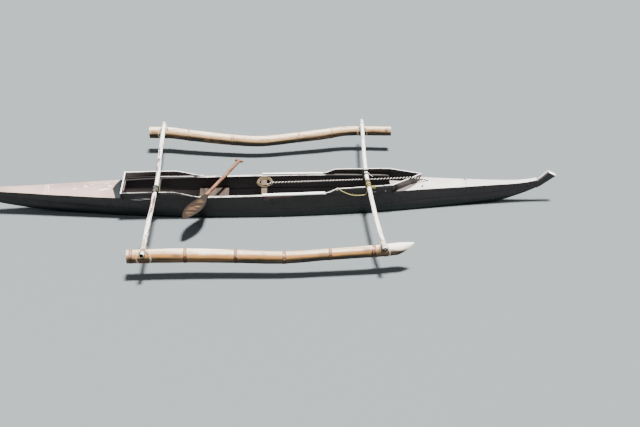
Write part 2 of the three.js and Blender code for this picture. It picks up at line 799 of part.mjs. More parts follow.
[
  ['float_lashing_aft_starboard', starboardFloat, aftBoom, starboardNodesX, 'starboard'],
  ['float_lashing_fore_starboard', starboardFloat, foreBoom, starboardNodesX, 'starboard'],
  ['float_lashing_aft_port', portFloat, aftBoom, portNodesX, 'port'],
  ['float_lashing_fore_port', portFloat, foreBoom, portNodesX, 'port'],
].forEach(([name, floatRows, boomRows, nodes]) => {
  const guess = valueAt(boomRows, 'x', floatRows[0].y, 'y');
  const floatRow = rowAt(floatRows, 'x', guess);
  const boomRow = rowAt(boomRows, 'y', floatRow.y);
  const wrap = lashingBand(floatRow, boomRow, 1).add(lashingBand(floatRow, boomRow, -1));
  const clear = wrap
    .subtract(solid(pole(floatRows, 'x', floatSides, floatStep, nodes, gap)))
    .subtract(solid(pole(boomRows, 'y', poleSides, poleStep, [], gap)));
  add(name, geometryOf(clear), paint.cord);
});

// Lashings that hold the booms down to the thwarts below them
function wrapOutline(row, foot, wide, extra) {
  const reach = row.r + extra;
  const outline = [[-wide / 2 - extra, foot - extra], [wide / 2 + extra, foot - extra]];
  for (let i = 0; i <= wrapSteps; i += 1) {
    const turn = (Math.PI * i) / wrapSteps;
    outline.push([reach * Math.cos(turn), row.z + reach * Math.sin(turn)]);
  }
  return outline;
}

const crossRings = (outline, row, from, to) => [from, to].map(
  (y) => outline.map(([s, z]) => [row.x + s, y, z]));

[
  { name: 'hull_lashing_aft', rows: aftBoom, y: -145, thwart: boomThwarts[0] },
  { name: 'hull_lashing_fore_port', rows: foreBoom, y: 75, thwart: boomThwarts[1] },
].forEach(({ name, rows, y, thwart }) => {
  const row = rowAt(rows, 'y', y);
  row.x = thwart.x;
  const foot = railTop(thwart.x) - thwartThick;
  const from = y - hullWrapWide / 2;
  const to = y + hullWrapWide / 2;
  const outer = loft(crossRings(wrapOutline(row, foot, boomThwartWide, wrapThick), row, from, to), [0, 2]);
  const slot = [
    [-boomThwartWide / 2 - gap, foot - gap],
    [boomThwartWide / 2 + gap, foot - gap],
    [boomThwartWide / 2 + gap, foot + thwartThick + gap],
    [row.r - slotInset, row.z],
    [-row.r + slotInset, row.z],
    [-boomThwartWide / 2 - gap, foot + thwartThick + gap],
  ];
  const wrap = solid(outer)
    .subtract(solid(pole(rows, 'y', poleSides, poleStep, [], gap)))
    .subtract(solid(loft(crossRings(slot, row, from - cutOver, to + cutOver), [0, 2])));
  add(name, geometryOf(wrap), paint.cord);
});

// Lashing at the starboard side board, standing on the rail's inner ledge
const sideWrap = (() => {
  const middle = rowAt(foreBoom, 'y', 0);
  const reach = middle.r + wrapThick;
  const narrow = Math.min(sheerHalf(middle.x - reach), sheerHalf(middle.x + reach));
  const inner = narrow + boardOut - sideBoardThick - gap * 2;
  const row = rowAt(foreBoom, 'y', -inner + sideWrapWide / 2);
  const foot = railTop(row.x) + gap;
  const outer = loft(crossRings(
    wrapOutline(row, foot + wrapThick, 2 * row.r, wrapThick), row, -inner, -inner + sideWrapWide), [0, 2]);
  const slot = [
    [-row.r + slotInset, foot + wrapThick * 2],
    [row.r - slotInset, foot + wrapThick * 2],
    [row.r - slotInset, row.z],
    [-row.r + slotInset, row.z],
  ];
  return solid(outer)
    .subtract(solid(pole(foreBoom, 'y', poleSides, poleStep, [], gap)))
    .subtract(solid(loft(crossRings(slot, row, -inner - cutOver, -inner + sideWrapWide + cutOver), [0, 2])));
})();
add('hull_lashing_fore_starboard', geometryOf(sideWrap), paint.cord);

// Cord coil laid on the thwart
const coilShape = [];
for (let i = 0; i <= coilSides; i += 1) {
  const turn = (2 * Math.PI * i) / coilSides;
  const middle = (coil.inner + coil.outer) / 2;
  const reach = (coil.outer - coil.inner) / 2;
  coilShape.push(new THREE.Vector2(middle + reach * Math.cos(turn), coil.thick / 2 * Math.sin(turn)));
}
const coilRing = new THREE.LatheGeometry(coilShape, coilTurns);
coilRing.rotateX(Math.PI / 2);
coilRing.scale(1, coil.stretch, 1);
coilRing.translate(coil.x, coil.y, railTop(thwartX) + gap + coil.thick / 2);
coilRing.deleteAttribute('normal');
coilRing.deleteAttribute('uv');
add('cord_coil', faceOut(mergeVertices(coilRing, 1e-3)), paint.cord);

// Slack cord outside the starboard board
const slackCurve = new THREE.CatmullRomCurve3(slackCord.map((p) => new THREE.Vector3(...p)));
const roundShape = new THREE.Shape();
roundShape.absarc(0, 0, slackRadius, 0, Math.PI * 2);
const slackTube = new THREE.ExtrudeGeometry(roundShape, {
  steps: slackSteps, curveSegments: 4, bevelEnabled: false, extrudePath: slackCurve,
});
slackTube.deleteAttribute('normal');
slackTube.deleteAttribute('uv');
add('slack_cord', mergeVertices(slackTube, 1e-3), paint.yellow);

// Paddle: shaft, leaf blade and a cross grip as one solid
const paddleLine = new THREE.Vector2(paddleGrip.x - paddleBlade.x, paddleGrip.y - paddleBlade.y);
const paddleLong = paddleLine.length();
const bladeRings = bladeRows.map(({ at, half }) => {
  const thin = blade.thick / 2 * Math.min(1, blade.tipShare + at / blade.long);
  return [
    [at, -half, -blade.edge], [at, 0, -thin], [at, half, -blade.edge],
    [at, half, blade.edge], [at, 0, thin], [at, -half, blade.edge],
  ];
});
const roundRing = (radius, place) => Array.from({ length: shaft.sides }, (_, i) => {
  const turn = (2 * Math.PI * i) / shaft.sides;
  return place(radius * Math.cos(turn), radius * Math.sin(turn));
});
const shaftRings = [
  { at: shaft.taperFrom, radius: shaft.radius * shaft.taperShare },
  { at: shaft.taperTo, radius: shaft.radius },
  { at: paddleLong - shaft.end, radius: shaft.radius },
  { at: paddleLong, radius: shaft.radius },
].map(({ at, radius }) => roundRing(radius, (y, z) => [at, y, z]));
const gripRings = [-grip.half, grip.half].map(
  (side) => roundRing(grip.radius, (out, z) => [paddleLong - grip.back + out, side, z]));
const paddleBody = geometryOf(solid(loft(bladeRings, [1, 2]))
  .add(solid(loft(shaftRings, [1, 2])))
  .add(solid(loft(gripRings, [0, 2]))));
paddleBody.rotateZ(Math.atan2(paddleLine.y, paddleLine.x));
paddleBody.translate(paddleBlade.x, paddleBlade.y, paddleZ);
add('paddle', paddleBody, paint.paddle);

export default group;
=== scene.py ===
import math

import bmesh
import bpy
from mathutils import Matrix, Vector, noise


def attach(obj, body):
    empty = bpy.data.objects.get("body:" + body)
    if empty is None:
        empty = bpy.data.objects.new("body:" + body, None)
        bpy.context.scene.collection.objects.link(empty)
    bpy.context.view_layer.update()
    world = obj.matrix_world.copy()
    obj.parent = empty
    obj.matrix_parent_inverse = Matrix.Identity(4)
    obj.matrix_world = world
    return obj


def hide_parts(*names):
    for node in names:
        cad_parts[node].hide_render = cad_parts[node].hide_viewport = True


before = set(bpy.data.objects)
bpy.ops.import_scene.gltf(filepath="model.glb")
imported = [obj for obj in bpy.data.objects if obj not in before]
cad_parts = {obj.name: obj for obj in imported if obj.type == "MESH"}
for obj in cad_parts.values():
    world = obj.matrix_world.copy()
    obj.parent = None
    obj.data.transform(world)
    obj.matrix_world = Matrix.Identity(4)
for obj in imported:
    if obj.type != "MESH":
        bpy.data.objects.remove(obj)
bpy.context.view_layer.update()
HULL = "canoe"
SIDES = (("port", 1), ("starboard", -1))

# Camera: focal length in pixels of the 640 by 427 picture
PHOTO_WIDTH = 640
FOCAL_PX = 1250
SENSOR = 36.0
CAMERA_AT = (0.0715, -9.8116, 5.225)
CAMERA_PITCH = 28.42
CAMERA_YAW = -2.54

# Hull stations, as in the part's source: x, half breadth at the sheer, sheer height,
# half breadth at the bilge, keel height, crown of the deck
STATIONS = [
    (-2.560, 0.020, 0.234, 0.015, 0.168, 0.002),
    (-2.300, 0.048, 0.220, 0.034, 0.089, 0.006),
    (-2.030, 0.077, 0.212, 0.050, 0.033, 0.009),
    (-1.850, 0.102, 0.208, 0.063, 0.003, 0.011),
    (-1.570, 0.138, 0.203, 0.084, -0.045, 0.014),
    (-1.285, 0.172, 0.200, 0.126, -0.080, 0.018),
    (-0.980, 0.203, 0.198, 0.163, -0.106, 0.020),
    (-0.500, 0.212, 0.198, 0.198, -0.125, 0.020),
    (0.000, 0.212, 0.200, 0.218, -0.130, 0.020),
    (0.500, 0.202, 0.202, 0.206, -0.127, 0.020),
    (0.960, 0.177, 0.201, 0.176, -0.108, 0.024),
    (1.110, 0.164, 0.200, 0.160, -0.100, 0.026),
    (1.260, 0.141, 0.198, 0.142, -0.090, 0.028),
    (1.410, 0.118, 0.195, 0.122, -0.077, 0.030),
    (1.780, 0.078, 0.190, 0.074, -0.038, 0.020),
    (2.100, 0.046, 0.189, 0.039, 0.008, 0.012),
    (2.240, 0.035, 0.191, 0.029, 0.050, 0.008),
    (2.340, 0.029, 0.198, 0.023, 0.088, 0.005),
    (2.430, 0.025, 0.214, 0.019, 0.129, 0.002),
]
COLUMNS = ("x", "sheer_half", "sheer_z", "bilge_half", "keel_z", "crown")
STERN_X = -2.560
BOW_X = 2.430
BILGE_SHARE = 0.5
FLOOR_SHARE = 0.2
SEAM_SHARE = 0.62
GAP = 0.0003
DECK_THICK = 0.008
STRAKE_THICK = 0.014
LOG_WALL = 0.020
SOLID = 0.2
THINNEST = 0.0008
SEAM_EASE = 0.0015
PLANK_STEP = 0.045
SIDE_PARTS = ("aft", "seat", "middle", "fore")
CAVITY_AFT_X = -1.204
CAVITY_FORE_X = 1.385

# Decks, boards and rails
AFT_DECK_FORE_X = -1.226
AFT_SEAM_X = -1.870
FORE_SEAM_X = 1.794
SEAM_HALF = 0.001
AFT_BOARD_X = -1.225
BOARD_THICK = 0.012
AFT_BOARD_HALF = 0.214
COAMING_TOP = 0.262
SIDE_BOARD_THICK = 0.010
RAIL_WIDE = 0.030
RAIL_THICK = 0.014
CAP_WIDE = {"port": 0.026, "starboard": 0.034}
CAP_THICK = 0.013
V_CORNER = (1.130, 0.164)
V_TIP_X = 1.404
V_TIP_TOP = 0.291
V_THICK = 0.010
V_FOOT_Z = 0.193
TIP_RAKE = 0.55
RAKE_FROM = 0.16
FORE_SIDE_LOW = 0.257
FORE_SIDE_TOP = 0.267
AFT_SIDE_TOP_HALF = 0.209
THWART_X = 0.014
THWART_THICK = 0.016
AFT_BOOM_X = -0.920
FORE_BOOM_X = 0.917

# Booms: y, x, z, radius, from the near end to the far end
AFT_BOOM = [
    (-1.288, -0.9550, 0.2630, 0.0190),
    (-1.170, -0.9480, 0.2670, 0.0185),
    (-0.950, -0.9425, 0.2729, 0.0190),
    (-0.742, -0.9380, 0.2780, 0.0190),
    (-0.547, -0.9300, 0.2788, 0.0178),
    (-0.205, -0.9220, 0.2796, 0.0172),
    (0.000, -0.9180, 0.2799, 0.0175),
    (0.205, -0.9210, 0.2806, 0.0182),
    (0.384, -0.9260, 0.2795, 0.0185),
    (0.800, -0.9320, 0.2750, 0.0185),
    (1.170, -0.9350, 0.2680, 0.0180),
    (1.228, -0.9370, 0.2665, 0.0170),
]
FORE_BOOM = [
    (-1.270, 0.9690, 0.2595, 0.0185),
    (-1.166, 0.9630, 0.2625, 0.0185),
    (-1.010, 0.9500, 0.2674, 0.0190),
    (-0.850, 0.9390, 0.2715, 0.0185),
    (-0.472, 0.9260, 0.2788, 0.0178),
    (-0.178, 0.9200, 0.2804, 0.0172),
    (0.000, 0.9160, 0.2802, 0.0168),
    (0.178, 0.9195, 0.2798, 0.0166),
    (0.302, 0.9230, 0.2796, 0.0166),
    (0.618, 0.9360, 0.2767, 0.0162),
    (0.882, 0.9490, 0.2708, 0.0163),
    (1.140, 0.9610, 0.2618, 0.0163),
    (1.220, 0.9660, 0.2555, 0.0130),
    (1.255, 0.9640, 0.2550, 0.0080),
]

# Floats: x, y, z, radius, from aft to fore
STARBOARD_FLOAT = [
    (-1.085, -1.171, 0.190, 0.054),
    (-0.625, -1.168, 0.188, 0.057),
    (-0.224, -1.182, 0.178, 0.053),
    (0.163, -1.200, 0.168, 0.050),
    (0.530, -1.188, 0.180, 0.046),
    (0.884, -1.169, 0.189, 0.048),
    (1.083, -1.144, 0.192, 0.050),
    (1.232, -1.128, 0.192, 0.050),
]
PORT_FLOAT = [
    (-1.078, 1.184, 0.193, 0.055),
    (-0.884, 1.172, 0.191, 0.054),
    (-0.689, 1.128, 0.180, 0.053),
    (-0.287, 1.056, 0.158, 0.051),
    (-0.002, 1.030, 0.150, 0.050),
    (0.351, 1.074, 0.163, 0.048),
    (0.574, 1.107, 0.173, 0.050),
    (0.824, 1.146, 0.187, 0.046),
    (1.238, 1.117, 0.190, 0.043),
]
STARBOARD_NODES = (-1.056, -0.625, -0.224, 0.163, 0.530, 0.884)
PORT_NODES = (-0.700, -0.287, 0.351, 0.660, 0.930)
NODE_SWELL = 0.0032
NODE_RINGS = (-0.014, -0.009, -0.006, -0.003, 0, 0.003, 0.006, 0.009, 0.013, 0.016, 0.020)
THIN_BANDS = ((-0.006, 0.006), (0.0125, 0.0205))
WIDE_BAND = ((-0.010, 0.021),)
POLE_STEP = 0.02
BORE_SHARE = 0.80
BORE_DEEP = 0.070
NOSE_TOP_X = 1.228
NOSE_TOP_Z = 0.244
NOSE_FOOT_X = 1.040
NOSE_FOOT_Z = 0.136
NOSE_TAPER_X = 1.10
NOSE_BORE_DEEP = 0.035

# Cords
SLACK_DIAMETER = 0.006
SLACK_CORD = [
    (0.656, -0.190, 0.2606),
    (0.659, -0.198, 0.2610),
    (0.664, -0.206, 0.2570),
    (0.684, -0.212, 0.2430),
    (0.714, -0.214, 0.2270),
    (0.755, -0.214, 0.2080),
    (0.801, -0.212, 0.1970),
    (0.862, -0.206, 0.1940),
    (0.896, -0.202, 0.2020),
    (0.908, -0.201, 0.2340),
    (0.90375, -0.202, 0.2690),
]
COIL_AT = (0.022, 0.045)
COIL_STRETCH = 1.27
COIL_DIAMETER = 0.007
COIL_LAYERS = ((0.0520, 0.0605, 0.0690), (0.0650, 0.0560), (0.0615,))
COIL_RISE = 0.0080
ROPE_LAY = 0.028
YARN_OUT = 0.0033
YARN_RADIUS = 0.0038
KNOT_OUT = 0.0085

# Paddle
PADDLE_BLADE = (-0.660, -0.612)
PADDLE_GRIP = (-0.206, 0.480)
PADDLE_Z = 0.220
BLADE_LONG = 0.47
SHAFT_RADIUS = 0.0150
BLADE_OUTLINE = [(0.0, 0.004), (0.012, 0.019), (0.030, 0.030), (0.110, 0.058), (0.200, 0.0715),
                 (0.300, 0.061), (0.400, 0.034), (0.440, 0.022), (0.470, 0.0155)]


def value_at(rows, column, at, along=0):
    """Smooth value of a table's column at a place along another column."""
    i = 0
    while i < len(rows) - 2 and at > rows[i + 1][along]:
        i += 1
    a, b = rows[i], rows[i + 1]
    before = rows[max(i - 1, 0)]
    after = rows[min(i + 2, len(rows) - 1)]
    span = b[along] - a[along]
    t = min(max((at - a[along]) / span, 0), 1)
    slope_a = (b[column] - before[column]) / (b[along] - before[along]) * span
    slope_b = (after[column] - a[column]) / (after[along] - a[along]) * span
    t2 = t * t
    t3 = t2 * t
    return ((2 * t3 - 3 * t2 + 1) * a[column] + (t3 - 2 * t2 + t) * slope_a
            + (3 * t2 - 2 * t3) * b[column] + (t3 - t2) * slope_b)


def hull(name, x):
    return value_at(STATIONS, COLUMNS.index(name), x)


def share_z(x, share):
    keel = hull("keel_z", x)
    return keel + share * (hull("sheer_z", x) - keel)


def side_half(x, z):
    """Half breadth of the hull's skin at a height."""
    low = share_z(x, BILGE_SHARE)
    if z < low:
        deep = min((low - z) / (low - hull("keel_z", x)), 1)
        return hull("bilge_half", x) * math.sqrt(1 - deep * deep)
    t = (z - low) / (hull("sheer_z", x) - low)
    bilge = hull("bilge_half", x)
    return bilge + (hull("sheer_half", x) - bilge) * t * (2 - t)


def strake_top(x):
    return hull("sheer_z", x) - DECK_THICK - GAP


def rail_top(x):
    return strake_top(x) + GAP + RAIL_THICK


def spread(start, end, step):
    """Places from start to end, both included, about a step apart."""
    count = max(1, round((end - start) / step))
    return [start + (end - start) * i / count for i in range(count + 1)]


def turned(count, place):
    """A full turn in even steps: place(cosine, sine) at each."""
    turns = [2 * math.pi * i / count for i in range(count)]
    return [place(math.cos(turn), math.sin(turn)) for turn in turns]


# Mesh helpers


def mesh_object(name, points, faces, materials, sharp=35):
    mesh = bpy.data.meshes.new(name)
    mesh.from_pydata([tuple(p) for p in points], [], faces)
    mesh.update()
    for material in materials:
        mesh.materials.append(material)
    mesh.shade_smooth()
    mesh.set_sharp_from_angle(angle=math.radians(sharp))
    obj = bpy.data.objects.new(name, mesh)
    bpy.context.scene.collection.objects.link(obj)
    return obj


def loft(name, rings, materials, pick=None, sharp=35):
    """Closed skin through rings with the same number of points; pick gives each face its material."""
    count = len(rings[0])
    points = [p for ring in rings for p in ring]
    faces = []
    for i in range(len(rings) - 1):
        for j in range(count):
            a = i * count + j
            b = i * count + (j + 1) % count
            faces.append((a, b, b + count, a + count))
    faces.append(tuple(reversed(range(count))))
    faces.append(tuple(range((len(rings) - 1) * count, len(points))))
    obj = mesh_object(name, points, faces, materials, sharp)
    outward(obj.data)
    if pick:
        for polygon in obj.data.polygons:
            polygon.material_index = pick(polygon.center, polygon.normal)
    return obj


def outward(mesh):
    """Turns the faces over if the volume comes out negative."""
    volume = 0
    for polygon in mesh.polygons:
        corners = [mesh.vertices[i].co for i in polygon.vertices]
        for i in range(1, len(corners) - 1):
            volume += corners[0].dot(corners[i].cross(corners[i + 1]))
    if volume < 0:
        mesh.flip_normals()
        mesh.update()


def rounded(a0, a1, b0, b1, radius, steps=2):
    """Rectangle with round corners as a list of pairs."""
    radius = min(radius, (a1 - a0) / 2.01, (b1 - b0) / 2.01)
    corners = ((a1 - radius, b1 - radius), (a0 + radius, b1 - radius),
               (a0 + radius, b0 + radius), (a1 - radius, b0 + radius))
    pairs = []
    for quarter, (a, b) in enumerate(corners):
        for i in range(steps + 1):
            turn = math.pi / 2 * (quarter + i / steps)
            pairs.append((a + radius * math.cos(turn), b + radius * math.sin(turn)))
    return pairs


# The wear starts from a fixed number, so it falls on the same places in every build
WEAR_SEED = 1795682789
noise.seed_set(WEAR_SEED)


def worn(point, amount, scale=9.0, seed=0.0):
    """A hand-made surface: the point moved a little by smooth noise."""
    p = Vector(point)
    return p + noise.noise_vector(p * scale + Vector((seed, seed, seed))) * amount


def board(name, places, span, heights, materials, radius=0.002, pick=None, wear=0.0006, lean=None):
    """Board along the hull; at x, span gives its sides, heights its foot and top, lean its top's shift."""
    rings = []
    for x in places:
        a, b = sorted(span(x))
        low, high = heights(x)
        out = lean(x) if lean else 0
        rings.append([worn((x, y + out * (z - low) / (high - low), z), wear)
                      for y, z in rounded(a, b, low, high, radius)])
    return loft(name, rings, materials, pick)


def curve_object(name, points, radius, material, sides=3):
    curve = bpy.data.curves.new(name, "CURVE")
    curve.dimensions = "3D"
    curve.bevel_depth = radius
    curve.bevel_resolution = sides
    curve.use_fill_caps = True
    spline = curve.splines.new("POLY")
    spline.points.add(len(points) - 1)
    for at, p in zip(spline.points, points):
        at.co = (*p, 1.0)
    curve.materials.append(material)
    obj = bpy.data.objects.new(name, curve)
    bpy.context.scene.collection.objects.link(obj)
    return obj


def smooth_path(points, per_span=6):
    """Points along a Catmull-Rom curve through the given points."""
    pts = [Vector(p) for p in points]
    out = []
    for i in range(len(pts) - 1):
        p0 = pts[max(i - 1, 0)]
        p1, p2 = pts[i], pts[i + 1]
        p3 = pts[min(i + 2, len(pts) - 1)]
        for k in range(per_span):
            t = k / per_span
            out.append(0.5 * (2 * p1 + (p2 - p0) * t + (2 * p0 - 5 * p1 + 4 * p2 - p3) * t ** 2
                              + (3 * p1 - p0 - 3 * p2 + p3) * t ** 3))
    out.append(pts[-1])
    return out


def put(obj, slot, *nodes, body=HULL):
    """The piece rides on a body and stands for CAD nodes, which it hides; slot is not used."""
    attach(obj, body)
    if nodes:
        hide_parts(*nodes)
    return obj


# Camera

camera_data = bpy.data.cameras.new("camera")
camera_data.sensor_width = SENSOR
camera_data.lens = FOCAL_PX / PHOTO_WIDTH * SENSOR
camera = bpy.data.objects.new("camera", camera_data)
camera.location = CAMERA_AT
camera.rotation_euler = (math.radians(90 - CAMERA_PITCH), 0, math.radians(CAMERA_YAW))
bpy.context.scene.collection.objects.link(camera)
bpy.context.scene.camera = camera


# Materials


class Paint:
    """A procedural material on the shader's own sockets, in the object's own coordinates."""

    def __init__(self, name, specular=0.3, rough=0.6):
        self.material = bpy.data.materials.new(name)
        self.material.use_nodes = True
        self.nodes = self.material.node_tree.nodes
        self.links = self.material.node_tree.links
        self.shader = self.nodes["Principled BSDF"]
        self.shader.inputs["Roughness"].default_value = rough
        self.shader.inputs["Specular IOR Level"].default_value = specular
        self.place = self.nodes.new("ShaderNodeTexCoord").outputs["Object"]
        self.color = None

    def node(self, kind, inputs, **settings):
        """A new node with its settings; each input takes a value or a wire from a socket."""
        node = self.nodes.new(kind)
        for name, value in settings.items():
            setattr(node, name, value)
        for key, value in inputs.items():
            if isinstance(value, bpy.types.NodeSocket):
                self.links.new(value, node.inputs[key])
            else:
                node.inputs[key].default_value = value
        return node

    def noise(self, scale, detail=4.0, rough=0.6, stretch=(1, 1, 1), twist=0.0, turn=(0, 0, 0)):
        place = self.node("ShaderNodeMapping", {"Vector": self.place, "Scale": stretch, "Rotation": turn})
        inputs = {"Vector": place.outputs["Vector"], "Scale": scale, "Detail": detail, "Roughness": rough,
                  "Distortion": twist}
        return self.node("ShaderNodeTexNoise", inputs).outputs["Fac"]

    def cells(self, scale):
        return self.node("ShaderNodeTexVoronoi", {"Vector": self.place, "Scale": scale}).outputs["Distance"]

    def axis(self, name, source=None):
        return self.node("ShaderNodeSeparateXYZ", {0: source or self.place}).outputs[name]

    def up(self):
        """1 on faces that look up, -1 on faces that look down."""
        return self.axis("Z", self.nodes.new("ShaderNodeNewGeometry").outputs["Normal"])

    def step(self, value, low, high):
        """0 at low and 1 at high, smooth between them."""
        inputs = {"Value": value, "From Min": low, "From Max": high}
        return self.node("ShaderNodeMapRange", inputs, interpolation_type="SMOOTHSTEP").outputs["Result"]

    def blob(self, at, size, turn=0.0, soft=0.35):
        """1 inside an ellipsoid of that half size at a place, 0 outside it."""
        inputs = {"Vector": self.place, "Location": at, "Rotation": (0, 0, turn), "Scale": size}
        local = self.node("ShaderNodeMapping", inputs, vector_type="TEXTURE").outputs["Vector"]
        far = self.node("ShaderNodeVectorMath", {0: local}, operation="LENGTH").outputs["Value"]
        return self.step(far, 1.0 + soft, 1.0 - soft)

    def math(self, kind, a, b):
        return self.node("ShaderNodeMath", {0: a, 1: b}, operation=kind).outputs[0]

    def mix(self, factor, *tones):
        """The first tone where the factor is 0, the second where it is 1."""
        a, b = [(*tone, 1) if isinstance(tone, tuple) else tone for tone in tones]
        return self.node("ShaderNodeMix", {0: factor, 6: a, 7: b}, data_type="RGBA").outputs[2]

    def over(self, mask, share, tone):
        """Lays a tone over the colour where the mask is, at a share of its full strength."""
        self.color = self.mix(self.math("MULTIPLY", mask, share), self.color, tone)

    def marks(self, rows, tone, grit=70):
        """Scuffs, stained spots and painted shade at stated places, each with a broken edge."""
        broken = self.step(self.noise(grit, 4, 0.7), 0.33, 0.43)
        for at, size, turn, strength in rows:
            self.over(self.math("MULTIPLY", self.blob(at, size, turn), strength), broken, tone)

    def finish(self, rough, *bumps):
        """Roughness as (value, low, high), and bumps as (value, strength, metres) laid one on another."""
        self.links.new(self.color, self.shader.inputs["Base Color"])
        value, low, high = rough
        rough = self.node("ShaderNodeMapRange", {"Value": value, "To Min": low, "To Max": high})
        self.links.new(rough.outputs["Result"], self.shader.inputs["Roughness"])
        last = None
        for value, strength, distance in bumps:
            inputs = {"Height": value, "Strength": strength, "Distance": distance}
            if last:
                inputs["Normal"] = last
            last = self.node("ShaderNodeBump", inputs).outputs["Normal"]
        self.links.new(last, self.shader.inputs["Normal"])
        return self.material


def hull_paint():
    """Charcoal paint, scuffed above and dark green-black where the water wets it."""
    p = Paint("hull_paint")
    edge = p.math("ADD", p.axis("Z"), p.math("MULTIPLY", p.noise(7, 4, 0.6, (0.5, 1, 1)), 0.06))
    wet = p.step(edge, 0.112, 0.072)
    moss = p.step(p.noise(28, 5, 0.65, (0.4, 1, 1)), 0.52, 0.72)
    p.color = p.mix(p.noise(3.0, 3, 0.5, (0.5, 1, 1)), (0.0180, 0.0170, 0.0172), (0.0300, 0.0285, 0.0290))
    p.over(p.step(p.axis("Z"), 0.10, 0.20), 0.35, (0.046, 0.042, 0.042))
    p.over(p.step(p.axis("X"), 0.6, 2.2), 0.8, (0.0450, 0.0400, 0.0430))
    p.over(p.step(p.noise(16, 6, 0.7, (0.16, 1, 1.6)), 0.56, 0.76), 0.7, (0.050, 0.046, 0.045))
    p.over(p.step(p.noise(90, 3, 0.6, (0.05, 1, 1)), 0.68, 0.80), 0.6, (0.13, 0.12, 0.115))
    p.over(p.step(p.noise(26, 4, 0.6, (1, 1, 0.12)), 0.60, 0.78), 0.6, (0.007, 0.006, 0.006))
    p.over(wet, 1, (0.0085, 0.0130, 0.0125))
    p.over(p.math("MULTIPLY", moss, wet), 0.5, (0.012, 0.021, 0.014))
    p.marks(SIDE_SCRATCHES, (0.70, 0.69, 0.66), 120)
    p.marks(SIDE_RUST, (0.180, 0.080, 0.064), 50)
    p.marks(CORNER_SMEAR, (0.040, 0.052, 0.051), 40)
    p.marks(BOW_SPOTS, (0.15, 0.055, 0.014), 20)
    dry = p.math("SUBTRACT", p.noise(24, 4, 0.6), p.math("MULTIPLY", wet, 0.35))
    return p.finish((dry, 0.38, 0.9), (p.noise(5, 3, 0.5, (0.4, 1, 1)), 0.5, 0.010),
                    (p.noise(60, 4, 0.7, (0.12, 1, 1)), 0.35, 0.0015), (p.noise(420, 2, 0.5), 0.15, 0.0005))


def aft_deck_marks(p):
    """A pale seam, white scuffs and a painted shadow of the aft board on the deck by the cockpit, its edge
    bent amidships.
    """
    p.over(p.blob((AFT_SEAM_X - 0.016, 0, 0.21), (0.022, 0.4, 0.2), 0, 0.15), 0.18, (0.78, 0.70, 0.68))
    p.marks(DECK_SCUFFS, (0.95, 0.93, 0.88), 60)
    # Painted shadow of the aft board: a dark blue-grey tone laid on the deck from the board aft to an edge
    # bent amidships.
    side = p.math("ABSOLUTE", p.math("ADD", p.axis("Y"), 0.03), 0)
    band = p.math("SUBTRACT", p.axis("X"), p.math("MULTIPLY", side, 0.24))
    board_shadow_tone = p.mix(p.step(p.axis("X"), -1.268, -1.256), (0.0050, 0.0062, 0.0066), (0.0015, 0.0044, 0.0078))
    p.over(p.step(band, -1.312, -1.307), 1, board_shadow_tone)


def foredeck_marks(p):
    """Dark marks, the notch at the seam, and a wood-toned lens of painted shade on the deck along each
    breakwater board.
    """
    p.marks(FOREDECK_MARKS, (0.06, 0.05, 0.05), 30)
    p.over(p.blob((1.7975, 0.052, 0.20), (0.0075, 0.036, 0.05), 0.22, 0.15), 0.9, (0.020, 0.018, 0.018))
    # Painted shade: a dark, wood-toned lens laid on the deck along the foot of each breakwater board.
    wood = p.mix(p.noise(40, 5, 0.7, (0.4, 1, 1)), (0.050, 0.042, 0.039), (0.135, 0.114, 0.107))
    for side in (-1, 1):
        p.over(p.blob((1.236, side * 0.100, 0.21), (0.150, 0.042, 0.2), -side * 0.539, 0.06), 1, wood)


def deck_paint(name, light, shade, add_marks):
    """Sun-bleached deck paint with the grain showing through."""
    p = Paint(name)
    grain = p.noise(70, 5, 0.65, (0.05, 1, 1), 0.4)
    p.color = p.mix(p.step(p.noise(4.5, 4, 0.6, (0.5, 1, 1)), 0.35, 0.65), light, shade)
    p.over(p.step(grain, 0.55, 0.75), 0.35, (0.22, 0.15, 0.135))
    p.over(p.step(p.noise(11, 5, 0.7), 0.60, 0.78), 0.40, (0.24, 0.17, 0.155))
    p.over(p.step(p.cells(26), 0.09, 0.04), 0.5, (0.22, 0.17, 0.14))
    p.over(p.step(p.noise(15, 3, 0.5, (0.35, 1, 1)), 0.70, 0.76), 0.6, (0.90, 0.88, 0.84))
    add_marks(p)
    return p.finish((p.noise(30, 4, 0.6), 0.45, 0.8), (grain, 0.3, 0.0012), (p.noise(6, 3, 0.5), 0.4, 0.006),
                    (p.noise(300, 2, 0.5), 0.12, 0.0004))


def tip_paint():
    """Top of the bow and stern tips: worn dark, with one pale edge and a white end."""
    p = Paint("tip_paint")
    chips = p.step(p.noise(60, 5, 0.7), 0.60, 0.68)
    p.color = p.mix(p.noise(30, 4, 0.6), (0.030, 0.026, 0.028), (0.060, 0.050, 0.054))
    p.over(p.step(p.axis("Y"), 0.000, 0.006), 1, (0.62, 0.53, 0.53))
    p.over(p.step(p.axis("X"), 2.531, 2.536), 1, (0.86, 0.85, 0.84))
    p.over(chips, 0.7, (0.10, 0.085, 0.08))
    return p.finish((p.noise(40, 3, 0.6), 0.5, 0.85), (chips, -0.5, 0.0008),
                    (p.noise(160, 3, 0.6), 0.3, 0.0008))


def edge_paint(name, wear):
    """White paint on the boards' top edges, worn through in places."""
    p = Paint(name)
    chips = p.step(p.noise(42, 6, 0.75, (0.35, 1, 1)), wear, wear + 0.08)
    p.color = p.mix(p.noise(14, 4, 0.6), (0.84, 0.82, 0.78), (0.94, 0.93, 0.90))
    p.over(chips, 0.85, (0.14, 0.10, 0.085))
    return p.finish((p.noise(40, 3, 0.6), 0.5, 0.85), (chips, -0.5, 0.0008),
                    (p.noise(160, 3, 0.6, (0.15, 1, 1)), 0.3, 0.0008))


